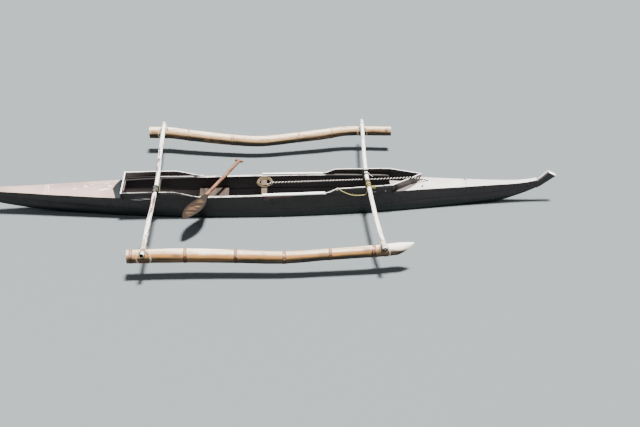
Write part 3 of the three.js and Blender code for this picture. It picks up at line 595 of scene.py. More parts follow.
def worn_edge_paint(name, low, high, pale, dark):
    """Grey paint worn nearly bare, from low to high of the wear noise."""
    p = Paint(name)
    chips = p.step(p.noise(18, 4, 0.7, (0.4, 1, 1)), 0.58, 0.66)
    p.color = p.mix(p.step(p.noise(30, 6, 0.75, (0.4, 1, 1)), low, high), pale, dark)
    p.over(chips, 1, tuple(min(c * 1.35, 0.9) for c in pale))
    return p.finish((p.noise(40, 3, 0.6), 0.55, 0.9), (chips, 0.5, 0.0010),
                    (p.noise(120, 3, 0.6, (0.15, 1, 1)), 0.4, 0.0010))


def rail_paint():
    """Gunwale: near black beside the raised boards, as painted shade, and pale along the open cockpit."""
    p = Paint("rail_paint")
    open_part = p.math("MULTIPLY", p.step(p.axis("X"), -0.60, -0.50), p.step(p.axis("X"), 0.58, 0.52))
    worn_through = p.step(p.noise(30, 6, 0.75, (0.3, 1, 1)), 0.45, 0.62)
    # Painted shade: the near-black base tone stays where the raised boards stand.
    p.color = p.mix(p.noise(30, 5, 0.7, (0.3, 1, 1)), (0.0055, 0.0045, 0.0045), (0.017, 0.013, 0.013))
    p.over(open_part, 1, p.mix(worn_through, (0.60, 0.58, 0.54), (0.16, 0.13, 0.11)))
    return p.finish((p.noise(40, 3, 0.6), 0.5, 0.85), (p.noise(160, 3, 0.6, (0.15, 1, 1)), 0.4, 0.0010),
                    (p.noise(14, 3, 0.6), 0.3, 0.003))


def inner_wood():
    """Dark wood inside the hull, with reddish drips."""
    p = Paint("inner_wood", 0.25)
    p.color = p.mix(p.noise(9, 5, 0.6, (0.25, 1, 1)), (0.020, 0.0155, 0.0150), (0.046, 0.034, 0.033))
    p.over(p.step(p.noise(22, 4, 0.6, (1, 1, 0.2)), 0.60, 0.75), 0.5, (0.075, 0.036, 0.032))
    return p.finish((p.noise(20, 4, 0.6), 0.4, 0.8), (p.noise(26, 5, 0.65, (0.15, 1, 1)), 0.6, 0.004),
                    (p.cells(34), 0.3, 0.003))


def pole_paint(name, peeling, bare_and_shade_places, worn_places, red_places=()):
    """White paint peeling off a pole that runs along Y, with painted shade on the faces that look down."""
    p = Paint(name, 0.35)
    peel = p.step(p.noise(15, 6, 0.72, (1.3, 0.16, 1.3)), peeling, peeling + 0.02)
    bare = p.mix(p.noise(60, 4, 0.6, (1, 0.08, 1)), (0.070, 0.036, 0.028), (0.24, 0.15, 0.11))
    p.color = p.mix(p.noise(10, 4, 0.6, (1, 0.3, 1)), (0.86, 0.84, 0.80), (0.96, 0.95, 0.93))
    p.over(p.step(p.noise(38, 5, 0.7, (1, 0.10, 1)), 0.50, 0.64), 0.55, (0.36, 0.29, 0.25))
    p.over(peel, 1, bare)
    # Bare spots, and on the aft boom one strip of painted shade.
    p.marks(bare_and_shade_places, (0.050, 0.022, 0.019), 55)
    p.marks(worn_places, (0.24, 0.22, 0.17), 30)
    p.marks(red_places, (0.17, 0.060, 0.052), 30)
    # Painted shade: darker on the faces that look down.
    p.over(p.step(p.up(), 0.25, -0.45), 0.75, (0.10, 0.085, 0.065))
    return p.finish((p.noise(40, 4, 0.6), 0.4, 0.8), (peel, -0.8, 0.0010),
                    (p.noise(90, 4, 0.7, (1, 0.06, 1)), 0.4, 0.0012),
                    (p.noise(9, 3, 0.5, (1, 0.5, 1)), 0.5, 0.006))


def bamboo(name, deep_tan, pale_tan, dark_places, brown_places, bleached_from):
    """Weathered bamboo that runs along X: cream on top, tan sides and a dark belly, laid by which way each
    face looks; the cream top is painted light and the dark belly painted shade.
    """
    p = Paint(name, 0.35)
    fibre = p.noise(150, 4, 0.65, (0.02, 1, 1))
    mottle = p.noise(7, 5, 0.65, (0.5, 1, 1))
    cream = p.mix(mottle, (0.66, 0.47, 0.28), (0.92, 0.82, 0.66))
    # Painted light and shade: the face's upward look, broken by mottle, sets the tone.
    height = p.math("ADD", p.up(), p.math("MULTIPLY", p.math("SUBTRACT", mottle, 0.5), 0.6))
    bleached = p.math("MULTIPLY", p.step(p.axis("X"), bleached_from, bleached_from + 0.04),
                      p.step(p.up(), 0.1, 0.5))
    p.color = p.mix(mottle, deep_tan, pale_tan)
    # Painted light: cream on the faces that look up.
    p.over(p.step(height, 0.62, 0.97), 1, cream)
    # Painted shade: brown, then near black, on the faces that look down.
    p.over(p.step(height, 0.42, 0.10), 1, (0.082, 0.054, 0.018))
    p.over(p.step(height, 0.16, -0.16), 1, (0.0080, 0.0085, 0.0045))
    p.over(p.step(p.noise(30, 4, 0.6, (0.03, 1, 1)), 0.50, 0.62), 0.5, (0.26, 0.125, 0.052))
    p.over(p.step(fibre, 0.5, 0.8), 0.30, (0.17, 0.085, 0.038))
    p.over(p.step(p.noise(26, 5, 0.75, (0.5, 1, 1)), 0.56, 0.66), 0.6, (0.105, 0.056, 0.028))
    p.over(bleached, 0.8, (0.94, 0.91, 0.85))
    p.marks(brown_places, (0.125, 0.078, 0.048), 45)
    p.marks(dark_places, (0.022, 0.012, 0.006), 60)
    return p.finish((mottle, 0.35, 0.7), (fibre, 0.35, 0.0010),
                    (p.noise(12, 3, 0.5, (0.3, 1, 1)), 0.35, 0.006))


def bamboo_node(name, strength):
    """Ring of a bamboo joint, browned unevenly, with painted light on faces that look up and painted shade
    on faces that look down; strength sets how dark it is.
    """
    p = Paint(name)
    grit = p.noise(60, 5, 0.7)
    # Painted shade and light: low is laid on faces that look down and high on faces that look up.
    low = p.mix(grit, (0.020, 0.009, 0.005), (0.080, 0.038, 0.019))
    high = p.mix(grit, (0.14, 0.055, 0.034), (0.36, 0.20, 0.13))
    edge = 0.56 - 0.22 * strength
    # Painted light and shade: the ring is lighter on faces that look up and darker on those that look down.
    p.color = p.mix(p.step(p.up(), -0.1, 0.8), (0.13, 0.066, 0.030), (0.62, 0.45, 0.30))
    p.over(p.step(p.noise(50, 4, 0.6, (1.6, 1, 1)), edge, edge + 0.10), 1,
           p.mix(p.step(p.up(), 0.1, 0.9), low, high))
    return p.finish((p.noise(60, 4, 0.6), 0.5, 0.85), (p.noise(180, 4, 0.7), 0.5, 0.0012))


def cut_bamboo():
    p = Paint("cut_bamboo", 0.25)
    p.color = p.mix(p.noise(240, 3, 0.6, (0.05, 1, 1)), (0.55, 0.46, 0.33), (0.78, 0.72, 0.60))
    return p.finish((p.noise(80, 3, 0.6), 0.6, 0.9), (p.noise(500, 3, 0.6), 0.5, 0.0006))


def bore_dark():
    p = Paint("bore_dark", 0.15)
    p.color = p.mix(p.noise(30, 4, 0.6), (0.020, 0.014, 0.009), (0.070, 0.046, 0.030))
    return p.finish((p.noise(40, 3, 0.6), 0.7, 0.95), (p.noise(90, 3, 0.6), 0.4, 0.001))


def nail_iron():
    p = Paint("nail_iron", 0.4)
    p.color = p.mix(p.noise(400, 3, 0.6), (0.06, 0.035, 0.025), (0.18, 0.10, 0.06))
    return p.finish((p.noise(300, 2, 0.5), 0.5, 0.9), (p.noise(900, 2, 0.6), 0.5, 0.0004))


def bare_wood(name, dark, light, stretch, stains_and_shade=()):
    """Wood with its grain along the axis that stretch draws out."""
    p = Paint(name)
    grain = p.noise(60, 6, 0.7, stretch, 0.6)
    p.color = p.mix(p.step(grain, 0.3, 0.7), dark, light)
    p.over(p.step(p.noise(13, 5, 0.7), 0.55, 0.75), 0.5, tuple(c * 0.45 for c in dark))
    # Dark marks, and at the ends of the aft cleat painted shade.
    p.marks(stains_and_shade, (0.012, 0.008, 0.007), 20)
    return p.finish((grain, 0.5, 0.85), (grain, 0.5, 0.0012), (p.noise(300, 3, 0.6, stretch), 0.3, 0.0005))


def blade_wood():
    """Wet dark blade, darkened further as painted shade, with paler, worn grain along its middle."""
    p = Paint("blade_wood", 0.25)
    line = math.atan2(PADDLE_GRIP[1] - PADDLE_BLADE[1], PADDLE_GRIP[0] - PADDLE_BLADE[0])
    grain = p.noise(42, 6, 0.75, (0.12, 1, 1), 0.3, (0, 0, -line))
    middle = p.blob((-0.585, -0.430, 0.22), (0.135, 0.040, 0.05), line, 0.6)
    # Painted shade: both the pale grain and the dark base are set darker than the wet wood's own colour.
    pale = p.mix(p.noise(24, 4, 0.7), (0.090, 0.042, 0.012), (0.230, 0.140, 0.050))
    red = p.math("MULTIPLY", middle, p.step(p.noise(28, 4, 0.7, (0.3, 1, 1)), 0.60, 0.70))
    p.color = p.mix(p.noise(30, 4, 0.6), (0.0045, 0.0025, 0.0016), (0.019, 0.0095, 0.0052))
    p.over(middle, p.step(grain, 0.51, 0.61), pale)
    p.over(red, 0.6, (0.16, 0.030, 0.018))
    return p.finish((grain, 0.6, 0.85), (grain, 0.6, 0.0012), (p.noise(220, 3, 0.6), 0.3, 0.0005))


def cord_fibre(name, dark, light, specular=0.2):
    p = Paint(name, specular)
    p.color = p.mix(p.step(p.noise(260, 4, 0.7), 0.35, 0.65), dark, light)
    p.over(p.step(p.noise(35, 4, 0.6), 0.55, 0.75), 0.6, tuple(c * 0.4 for c in dark))
    return p.finish((p.noise(200, 3, 0.6), 0.7, 0.95), (p.noise(700, 3, 0.7), 0.8, 0.0008))


# Places on the paint, read from the photograph: place, half size, turn, strength
SIDE_SCRATCHES = [
    ((-1.085, -0.20, 0.187), (0.050, 0.05, 0.0026), 0.0, 0.9),
    ((-1.000, -0.20, 0.1965), (0.042, 0.05, 0.0042), 0.0, 1.0),
    ((-1.040, -0.20, 0.205), (0.080, 0.05, 0.0020), 0.0, 0.5),
    ((0.976, -0.20, 0.208), (0.018, 0.05, 0.0040), 0.0, 0.7),
    ((1.072, -0.18, 0.212), (0.007, 0.05, 0.0040), 0.0, 0.8),
]
CORNER_SMEAR = [
    ((1.158, -0.16, 0.232), (0.034, 0.05, 0.030), 0.0, 0.8),
    ((1.115, -0.17, 0.202), (0.022, 0.05, 0.012), 0.0, 0.5),
]
SIDE_RUST = [
    ((0.080, -0.215, 0.193), (0.075, 0.05, 0.0080), 0.0, 1.0),
    ((0.200, -0.215, 0.196), (0.070, 0.05, 0.0060), 0.0, 0.9),
    ((0.030, -0.215, 0.172), (0.025, 0.05, 0.0060), 0.0, 0.7),
]
BOW_SPOTS = [
    ((2.361, -0.03, 0.175), (0.008, 0.03, 0.006), 0.0, 0.9),
    ((2.048, -0.05, 0.045), (0.010, 0.04, 0.006), 0.0, 0.6),
]
DECK_SCUFFS = [
    ((-1.637, -0.019, 0.22), (0.020, 0.006, 0.05), 0.5, 0.7),
    ((-1.547, 0.024, 0.22), (0.028, 0.007, 0.05), -0.7, 0.8),
    ((-1.383, -0.040, 0.22), (0.045, 0.007, 0.05), 0.25, 1.0),
    ((-1.338, 0.025, 0.22), (0.020, 0.008, 0.05), -0.4, 0.8),
    ((-1.370, 0.084, 0.22), (0.026, 0.006, 0.05), 0.6, 0.7),
    ((-1.500, 0.062, 0.22), (0.016, 0.006, 0.05), -0.3, 0.6),
    ((-1.870, 0.000, 0.22), (0.005, 0.070, 0.05), 0.1, 0.5),
]
FOREDECK_MARKS = [
    ((1.797, 0.040, 0.20), (0.010, 0.022, 0.05), 0.5, 1.0),
    ((1.795, 0.000, 0.20), (0.003, 0.100, 0.05), 0.0, 0.5),
    ((1.402, -0.090, 0.21), (0.008, 0.010, 0.05), 0.3, 0.9),
]
BREAKWATER_STAIN = [
    ((1.125, -0.165, 0.235), (0.062, 0.060, 0.090), 0.0, 1.0),
]
# Painted shade at both ends of the aft cleat, in the corners by the side boards.
CLEAT_END_SHADE = [
    ((-1.2065, 0.120, 0.233), (0.020, 0.050, 0.020), 0.0, 1.0),
    ((-1.2065, -0.150, 0.233), (0.020, 0.045, 0.020), 0.0, 1.0),
]
# A dark band across the thwart, at the near edge of the coil.
THWART_DARK_BAND = [
    ((0.014, -0.036, 0.20), (0.060, 0.024, 0.05), 0.05, 1.0),
]
AFT_BOOM_BARE_AND_SHADE = [
    ((-0.916, -0.375, 0.31), (0.0050, 0.085, 0.05), 0.04, 1.0),
    # Painted shade: a grey strip down the aft boom's aft side amidships.
    ((-0.936, -0.070, 0.29), (0.0060, 0.050, 0.05), 0.0, 0.9),
    ((-0.933, 0.540, 0.29), (0.0055, 0.120, 0.05), 0.02, 1.0),
    ((-0.931, 0.360, 0.29), (0.0045, 0.050, 0.05), 0.0, 0.9),
    ((-0.940, -1.020, 0.28), (0.0080, 0.016, 0.05), 0.2, 0.9),
    ((-0.948, -1.215, 0.28), (0.0180, 0.012, 0.05), 0.1, 0.9),
]
AFT_BOOM_WORN = [
    ((-0.901, -0.640, 0.30), (0.0070, 0.075, 0.05), 0.0, 1.0),
    ((-0.944, -1.150, 0.28), (0.0220, 0.095, 0.08), 0.0, 0.6),
    ((-0.925, 0.100, 0.29), (0.0050, 0.120, 0.05), 0.0, 0.7),
]
AFT_BOOM_RED = [
    ((-0.921, -0.450, 0.31), (0.0085, 0.120, 0.05), 0.02, 1.0),
    ((-0.970, -1.262, 0.28), (0.0110, 0.034, 0.05), 0.1, 1.0),
    ((-0.948, -1.235, 0.28), (0.0200, 0.018, 0.05), 0.0, 0.8),
]
FORE_BOOM_BARE = [
    ((0.951, -1.010, 0.28), (0.0040, 0.040, 0.05), 0.1, 0.6),
]
FORE_BOOM_WORN = [
    ((0.965, -1.205, 0.28), (0.0200, 0.060, 0.08), 0.0, 0.5),
    ((0.926, -0.450, 0.28), (0.0050, 0.080, 0.05), 0.0, 0.6),
    ((0.944, 0.780, 0.28), (0.0200, 0.060, 0.08), 0.0, 0.5),
]

# Dark and brown marks on the floats, with painted shade at the starboard float's slant-cut nose: place, half
# size, turn, strength
NEAR_FLOAT_DARK = [
    ((0.880, -1.220, 0.196), (0.0170, 0.050, 0.034), 0.0, 1.0),
    ((0.531, -1.230, 0.170), (0.0170, 0.040, 0.028), 0.0, 0.9),
    ((0.166, -1.250, 0.150), (0.0150, 0.040, 0.026), 0.0, 0.9),
    ((-0.622, -1.230, 0.170), (0.0150, 0.040, 0.026), 0.0, 0.9),
    ((-0.214, -1.230, 0.160), (0.0120, 0.040, 0.030), 0.0, 0.7),
    # Painted shade under the slant-cut nose.
    ((1.020, -1.190, 0.165), (0.0600, 0.040, 0.012), 0.0, 0.9),
]
NEAR_FLOAT_BROWN = [
    ((0.940, -1.200, 0.212), (0.0240, 0.050, 0.024), 0.0, 0.9),
    # Painted shade on the slant-cut nose, brown-grey.
    ((1.015, -1.200, 0.190), (0.0620, 0.050, 0.026), 0.0, 0.8),
    ((-1.060, -1.230, 0.200), (0.0280, 0.040, 0.020), 0.0, 0.8),
    ((-0.993, -1.230, 0.216), (0.0110, 0.040, 0.010), 0.0, 0.9),
    ((-0.690, -1.210, 0.215), (0.0450, 0.040, 0.016), 0.0, 0.5),
    ((0.480, -1.220, 0.205), (0.0450, 0.040, 0.016), 0.0, 0.6),
    ((0.830, -1.210, 0.222), (0.0350, 0.040, 0.012), 0.0, 0.6),
]
FAR_FLOAT_DARK = [
    ((0.929, 1.080, 0.205), (0.0060, 0.060, 0.040), 0.0, 1.0),
    ((1.195, 1.080, 0.180), (0.0250, 0.060, 0.014), 0.0, 0.9),
    ((-0.962, 1.130, 0.205), (0.0060, 0.060, 0.040), 0.0, 0.9),
    ((-1.020, 1.130, 0.190), (0.0450, 0.060, 0.012), 0.0, 0.7),
    ((0.574, 1.060, 0.150), (0.0160, 0.040, 0.014), 0.0, 0.8),
    ((0.351, 1.030, 0.150), (0.0120, 0.040, 0.020), 0.0, 0.6),
]
FAR_FLOAT_BROWN = [
    ((1.190, 1.080, 0.210), (0.0200, 0.060, 0.018), 0.0, 0.9),
    ((0.480, 1.050, 0.180), (0.0600, 0.050, 0.014), 0.0, 0.6),
    ((0.340, 1.040, 0.165), (0.0250, 0.040, 0.030), 0.0, 0.5),
    ((-1.030, 1.130, 0.215), (0.0300, 0.060, 0.016), 0.0, 0.6),
]

HULL_PAINT = hull_paint()
NAIL_IRON = nail_iron()
AFT_DECK_PAINT = deck_paint("aft_deck_paint", (0.45, 0.310, 0.275), (0.33, 0.220, 0.195), aft_deck_marks)
FOREDECK_PAINT = deck_paint("foredeck_paint", (0.68, 0.635, 0.62), (0.56, 0.50, 0.485), foredeck_marks)
TIP_PAINT = tip_paint()
EDGE_PAINT = edge_paint("edge_paint", 0.56)
CAP_PAINT = edge_paint("cap_paint", 0.66)
WORN_EDGE = worn_edge_paint("worn_edge_paint", 0.44, 0.60, (0.55, 0.53, 0.49), (0.060, 0.050, 0.042))
PLATE_PAINT = worn_edge_paint("plate_paint", 0.49, 0.63, (0.34, 0.335, 0.32), (0.060, 0.070, 0.062))
BATTEN_PAINT = worn_edge_paint("batten_paint", 0.45, 0.70, (0.13, 0.125, 0.12), (0.040, 0.034, 0.032))
SHADED_BATTEN = worn_edge_paint("shaded_batten_paint", 0.45, 0.70, (0.038, 0.033, 0.032),
                                (0.020, 0.017, 0.016))
INNER_WOOD = inner_wood()
RAIL_PAINT = rail_paint()
AFT_POLE_PAINT = pole_paint("aft_pole_paint", 0.555, AFT_BOOM_BARE_AND_SHADE, AFT_BOOM_WORN, AFT_BOOM_RED)
FORE_POLE_PAINT = pole_paint("fore_pole_paint", 0.60, FORE_BOOM_BARE, FORE_BOOM_WORN)
NEAR_BAMBOO = bamboo("near_bamboo", (0.27, 0.108, 0.026), (0.52, 0.255, 0.075), NEAR_FLOAT_DARK,
                     NEAR_FLOAT_BROWN, 0.97)
FAR_BAMBOO = bamboo("far_bamboo", (0.36, 0.195, 0.090), (0.62, 0.41, 0.22), FAR_FLOAT_DARK,
                    FAR_FLOAT_BROWN, 1.50)
NEAR_NODE = bamboo_node("near_bamboo_node", 1.0)
FAR_NODE = bamboo_node("far_bamboo_node", 0.5)
CUT_BAMBOO = cut_bamboo()
BORE_DARK = bore_dark()
ACROSS_GRAIN = (1, 0.05, 1)
THWART_WOOD = bare_wood("thwart_wood", (0.056, 0.036, 0.024), (0.130, 0.092, 0.063), ACROSS_GRAIN,
                        THWART_DARK_BAND)
CLEAT_WOOD = bare_wood("cleat_wood", (0.056, 0.040, 0.034), (0.145, 0.112, 0.098), ACROSS_GRAIN,
                       CLEAT_END_SHADE)
BREAKWATER_WOOD = bare_wood("breakwater_wood", (0.062, 0.052, 0.049), (0.165, 0.140, 0.132), (0.3, 0.3, 1),
                            BREAKWATER_STAIN)
SEAT_WOOD = bare_wood("seat_wood", (0.022, 0.015, 0.011), (0.075, 0.052, 0.038), ACROSS_GRAIN)
SHAFT_WOOD = bare_wood("shaft_wood", (0.080, 0.033, 0.018), (0.25, 0.130, 0.075), (0.35, 0.06, 1))
BLADE_WOOD = blade_wood()
BLACK_CORD = cord_fibre("black_cord", (0.0030, 0.0034, 0.0030), (0.011, 0.0115, 0.010), 0.04)
GREY_CORD = cord_fibre("grey_cord", (0.050, 0.050, 0.043), (0.20, 0.20, 0.18))
OLIVE_CORD = cord_fibre("olive_cord", (0.060, 0.050, 0.018), (0.20, 0.18, 0.075))
LINE_CORD = cord_fibre("line_cord", (0.42, 0.33, 0.23), (0.80, 0.70, 0.55))
RUST_CORD = cord_fibre("rust_cord", (0.018, 0.008, 0.006), (0.080, 0.034, 0.026))
TAN_CORD = cord_fibre("tan_cord", (0.062, 0.044, 0.025), (0.235, 0.176, 0.108))
YELLOW_CORD = cord_fibre("yellow_cord", (0.22, 0.19, 0.055), (0.56, 0.50, 0.22))
WHITE_CORD = cord_fibre("white_cord", (0.46, 0.40, 0.36), (0.82, 0.76, 0.72))


# Cords


def slack_cord():
    path = smooth_path(SLACK_CORD)
    obj = curve_object("slack_cord_line", path, SLACK_DIAMETER / 2, YELLOW_CORD)
    put(obj, "slack_cord", "slack_cord")


slack_cord()


# Hull


def log_bottom():
    """The round underside, from stern to bow."""
    rings = []
    for x in spread(STERN_X, BOW_X, 0.05):
        low = share_z(x, BILGE_SHARE)
        floor = share_z(x, FLOOR_SHARE)
        keel = hull("keel_z", x)
        start = math.asin((low - floor) / (low - keel))
        half = []
        for i in range(11):
            turn = start + (math.pi / 2 - start) * i / 10
            half.append((hull("bilge_half", x) * math.cos(turn), low - (low - keel) * math.sin(turn)))
        port = [(x, y, z) for y, z in half[:-1]]
        starboard = [(x, -y, z) for y, z in reversed(half[:-1])]
        rings.append([worn(p, 0.0008) for p in port + [(x, 0, keel)] + starboard])
    put(loft("log_bottom", rings, [HULL_PAINT, INNER_WOOD], lambda c, n: 1 if n.z > 0.8 else 0),
        "hull_paint", "hull_log_aft", "hull_log_middle", "hull_log_fore")


def side_plank(name, side, places, foot, top, thick, steps=8):
    """Skin of the hull's side between two heights, with its inner face and an eased lower edge."""
    rings = []
    for x in places:
        heights = [foot(x) + (top(x) - foot(x)) * i / steps for i in range(steps + 1)]
        outer = [(x, side * side_half(x, z), z) for z in heights]
        inner = [(x, side * max(side_half(x, z) - thick, THINNEST), z) for z in reversed(heights)]
        outer[0] = (x, outer[0][1] - side * SEAM_EASE, outer[0][2])
        rings.append([worn(p, 0.0008) for p in outer + inner])

    def pick(center, normal):
        return 1 if normal.y * side < -0.4 else 0

    return loft(name, rings, [HULL_PAINT, INNER_WOOD], pick)


def hull_sides():
    """Log and strake on each side; the log's ends are solid, so their inner face lies amidships."""
    def floor(x):
        return share_z(x, FLOOR_SHARE) + GAP

    def seam(x):
        return share_z(x, SEAM_SHARE)

    def above_seam(x):
        return seam(x) + GAP

    def skin(name, first, last, foot, top, thick, *nodes):
        places = spread(first, last, PLANK_STEP)
        put(side_plank(name, side, places, foot, top, thick), "hull_paint", *nodes)

    ends = (("aft", STERN_X, CAVITY_AFT_X - GAP), ("fore", CAVITY_FORE_X + GAP, BOW_X))
    for word, side in SIDES:
        skin(f"log_skin_{word}", CAVITY_AFT_X, CAVITY_FORE_X, floor, seam, LOG_WALL,
             *(f"log_side_{word}_{part}" for part in SIDE_PARTS))
        for end, first, last in ends:
            skin(f"log_end_skin_{end}_{word}", first, last, floor, seam, SOLID, f"log_end_{end}")
        skin(f"strake_skin_{word}", STERN_X, BOW_X, above_seam, strake_top, STRAKE_THICK,
             f"strake_{word}_aft", f"strake_{word}_fore", "stern_post", "bow_post")


log_bottom()
hull_sides()


# Decks


def v_half(x):
    """Half width of the breakwater's outer faces at a place along the hull."""
    slope = V_CORNER[1] / (V_TIP_X - V_CORNER[0])
    long = math.hypot(V_CORNER[1], V_TIP_X - V_CORNER[0])
    out = V_THICK / 2 * long / V_CORNER[1]
    return max((V_TIP_X + out + 2 * GAP - x) * slope, 0.0)


def deck_ring(x, inner=0.0, side=0, across=14):
    """Ring of a crowned deck, whole, or only from an inner edge out to one side."""
    edge = hull("sheer_half", x)
    crown = hull("crown", x)
    base = hull("sheer_z", x)
    shares = [i / across * 2 - 1 for i in range(across + 1)]
    if side:
        shares = [(inner + (edge - inner) * i / across) / edge for i in range(across + 1)]
    top = [(x, (side or 1) * s * edge, base + crown * (1 - s * s)) for s in shares]
    under = [(x, y, z - DECK_THICK) for _, y, z in reversed(top)]
    return [worn(p, 0.0009, 5.0) for p in top + under]


def decks():
    def pick(center, normal):
        return 1 if normal.z < -0.3 or abs(normal.z) < 0.45 else 0

    tip = V_TIP_X + 0.012
    panels = [
        ("aft_deck", "fore", AFT_SEAM_X + SEAM_HALF, AFT_DECK_FORE_X, AFT_DECK_PAINT),
        ("aft_deck", "aft", STERN_X, AFT_SEAM_X - SEAM_HALF, AFT_DECK_PAINT),
        ("foredeck", "fore", FORE_SEAM_X + SEAM_HALF, BOW_X, FOREDECK_PAINT),
        ("foredeck", "aft", tip, FORE_SEAM_X - SEAM_HALF, FOREDECK_PAINT),
    ]
    for deck, end, first, last, paint in panels:
        rings = [deck_ring(x) for x in spread(first, last, 0.03)]
        put(loft(f"{deck}_panel_{end}", rings, [paint, HULL_PAINT], pick), "deck_paint", f"{deck}_{end}")
    for word, side in SIDES:
        places = spread(V_CORNER[0] + 0.02, tip, 0.02)
        rings = [deck_ring(x, v_half(x), side) for x in places if v_half(x) < hull("sheer_half", x) - 0.002]
        put(loft(f"foredeck_wing_{word}", rings, [FOREDECK_PAINT, HULL_PAINT], pick), "deck_paint",
            "foredeck_aft")


decks()


# Boards, rails and coaming


def aft_board_top(x):
    t = min(max((x + 0.800) / 0.280, 0), 1)
    return COAMING_TOP + (rail_top(x) + 0.006 - COAMING_TOP) * t * t * (3 - 2 * t)


def fore_board_top(x):
    t = min(max((x - 0.548) / 0.112, 0), 1)
    level = FORE_SIDE_LOW + (FORE_SIDE_TOP - FORE_SIDE_LOW) * (x - 0.660) / 0.464
    low = rail_top(x) + 0.012
    return low + (level - low) * t * t * (3 - 2 * t)


def rails_and_boards():
    for word, side in SIDES:
        cap_wide = CAP_WIDE[word]

        def top_white(center, normal):
            return 1 if normal.z > 0.5 else (2 if normal.y * side < -0.5 else 0)

        # The cap's inner face takes the darker batten paint.
        def dark_inside(center, normal):
            return 2 if normal.y * side < -0.6 else 0

        def span(outer, wide):
            return lambda x: (side * (hull("sheer_half", x) + outer),
                              side * (hull("sheer_half", x) + outer - wide))

        def lean(x):
            return side * max(AFT_SIDE_TOP_HALF - hull("sheer_half", x) - 0.002, 0)

        edge = WORN_EDGE if side < 0 else EDGE_PAINT
        put(board(f"rail_strip_{word}", spread(-1.212, 1.122, 0.03), span(0, RAIL_WIDE),
                  lambda x: (strake_top(x) + GAP, rail_top(x)), [HULL_PAINT, RAIL_PAINT, INNER_WOOD],
                  0.003, top_white, 0.0012), "hull_paint", f"rail_{word}")
        put(board(f"rail_cap_strip_{word}", spread(0.0, 0.542, 0.02), span(0.006, cap_wide),
                  lambda x: (rail_top(x) + GAP, rail_top(x) + GAP + CAP_THICK),
                  [CAP_PAINT, RAIL_PAINT, BATTEN_PAINT], 0.004, dark_inside, 0.0012), "white_paint",
            f"rail_cap_{word}")
        put(board(f"aft_side_board_{word}", spread(-1.212, -0.520, 0.015), span(0.002, SIDE_BOARD_THICK),
                  lambda x: (rail_top(x) + GAP, aft_board_top(x)), [HULL_PAINT, edge, INNER_WOOD],
                  0.002, top_white, 0.0012, lean), "hull_paint", f"washboard_aft_{word}")
        put(board(f"fore_side_board_{word}", spread(0.548, 1.129, 0.012), span(0.002, SIDE_BOARD_THICK),
                  lambda x: (rail_top(x) + GAP, fore_board_top(x)), [HULL_PAINT, EDGE_PAINT, INNER_WOOD],
                  0.002, top_white, 0.0010), "hull_paint", f"washboard_fore_{word}")


def battens():
    """Thin strips inside the port boards, aft on the board's foot and fore on the rail."""
    def inside(near, far):
        return lambda x: (hull("sheer_half", x) - near, hull("sheer_half", x) - far)

    def aft_heights(x):
        level = 0.217 - 0.024 * (x + 1.178)
        return level - 0.004, level + 0.004

    def fore_heights(x):
        return rail_top(x) + 0.0004, rail_top(x) + 0.0034

    def shaded(center, normal):
        return 1 if center.x < -0.930 else 0

    put(board("inner_batten_aft", spread(-1.190, -0.610, 0.02), inside(0.0082, 0.0135), aft_heights,
              [EDGE_PAINT, SHADED_BATTEN], pick=shaded), "white_paint")
    put(board("inner_batten_fore", spread(0.640, 1.108, 0.02), inside(0.013, 0.021), fore_heights,
              [BATTEN_PAINT]), "white_paint")


def breakwater():
    for word, side in SIDES:
        corner = Vector((V_CORNER[0], side * V_CORNER[1], 0))
        along = Vector((V_TIP_X, 0, 0)) - corner
        long = along.length
        along.normalize()
        across = Vector((-along.y, along.x, 0))
        rings = []
        for s in spread(-0.003, long + 0.004, 0.02):
            middle = corner + along * s
            top = FORE_SIDE_TOP + (V_TIP_TOP - FORE_SIDE_TOP) * s / long
            rake = TIP_RAKE * min(max((s - RAKE_FROM) / (long - RAKE_FROM), 0), 1)
            ring = []
            for a, z in rounded(-V_THICK / 2, V_THICK / 2, V_FOOT_Z, top, 0.002):
                p = middle + across * a - along * rake * (top - z)
                ring.append(worn((p.x, p.y if p.y * side > 0 else side * 0.0002, z), 0.0008))
            rings.append(ring)

        def pick(center, normal):
            return 1 if normal.z > 0.5 else (2 if normal.x < -0.3 else 0)

        put(loft(f"breakwater_board_{word}", rings, [BREAKWATER_WOOD, EDGE_PAINT, INNER_WOOD], pick),
            "hull_paint", f"breakwater_{word}")


def cross_board(name, x, wide, foot, thick, half, material, wear=0.001):
    """Plank across the hull, with round edges and a slightly uneven hand-sawn line."""
    rings = []
    for y in spread(-half, half, 0.02):
        rings.append([worn((x + a, y, z), wear, 12)
                      for a, z in rounded(-wide / 2, wide / 2, foot, foot + thick, 0.003)])
    return loft(name, rings, [material])


def cross_boards():
    def fitted(name, x, wide, material, node):
        half = hull("sheer_half", x) - RAIL_WIDE - 0.001
        plank = cross_board(name, x, wide, rail_top(x) - THWART_THICK, THWART_THICK, half, material)
        put(plank, "bare_wood", node)

    fitted("thwart_plank", THWART_X, 0.052, THWART_WOOD, "thwart")
    for node, x in (("boom_thwart_aft", AFT_BOOM_X), ("boom_thwart_fore", FORE_BOOM_X)):
        fitted(f"{node}_plank", x, 0.046, INNER_WOOD, node)
    put(cross_board("seat_plank", -0.430, 0.260, 0.0765, 0.018, 0.195, SEAT_WOOD), "bare_wood", "seat_board")
    put(cross_board("aft_cleat_batten", -1.2065, 0.012, 0.226, 0.014, 0.135, CLEAT_WOOD), "bare_wood",
        "coaming_aft_cleat")


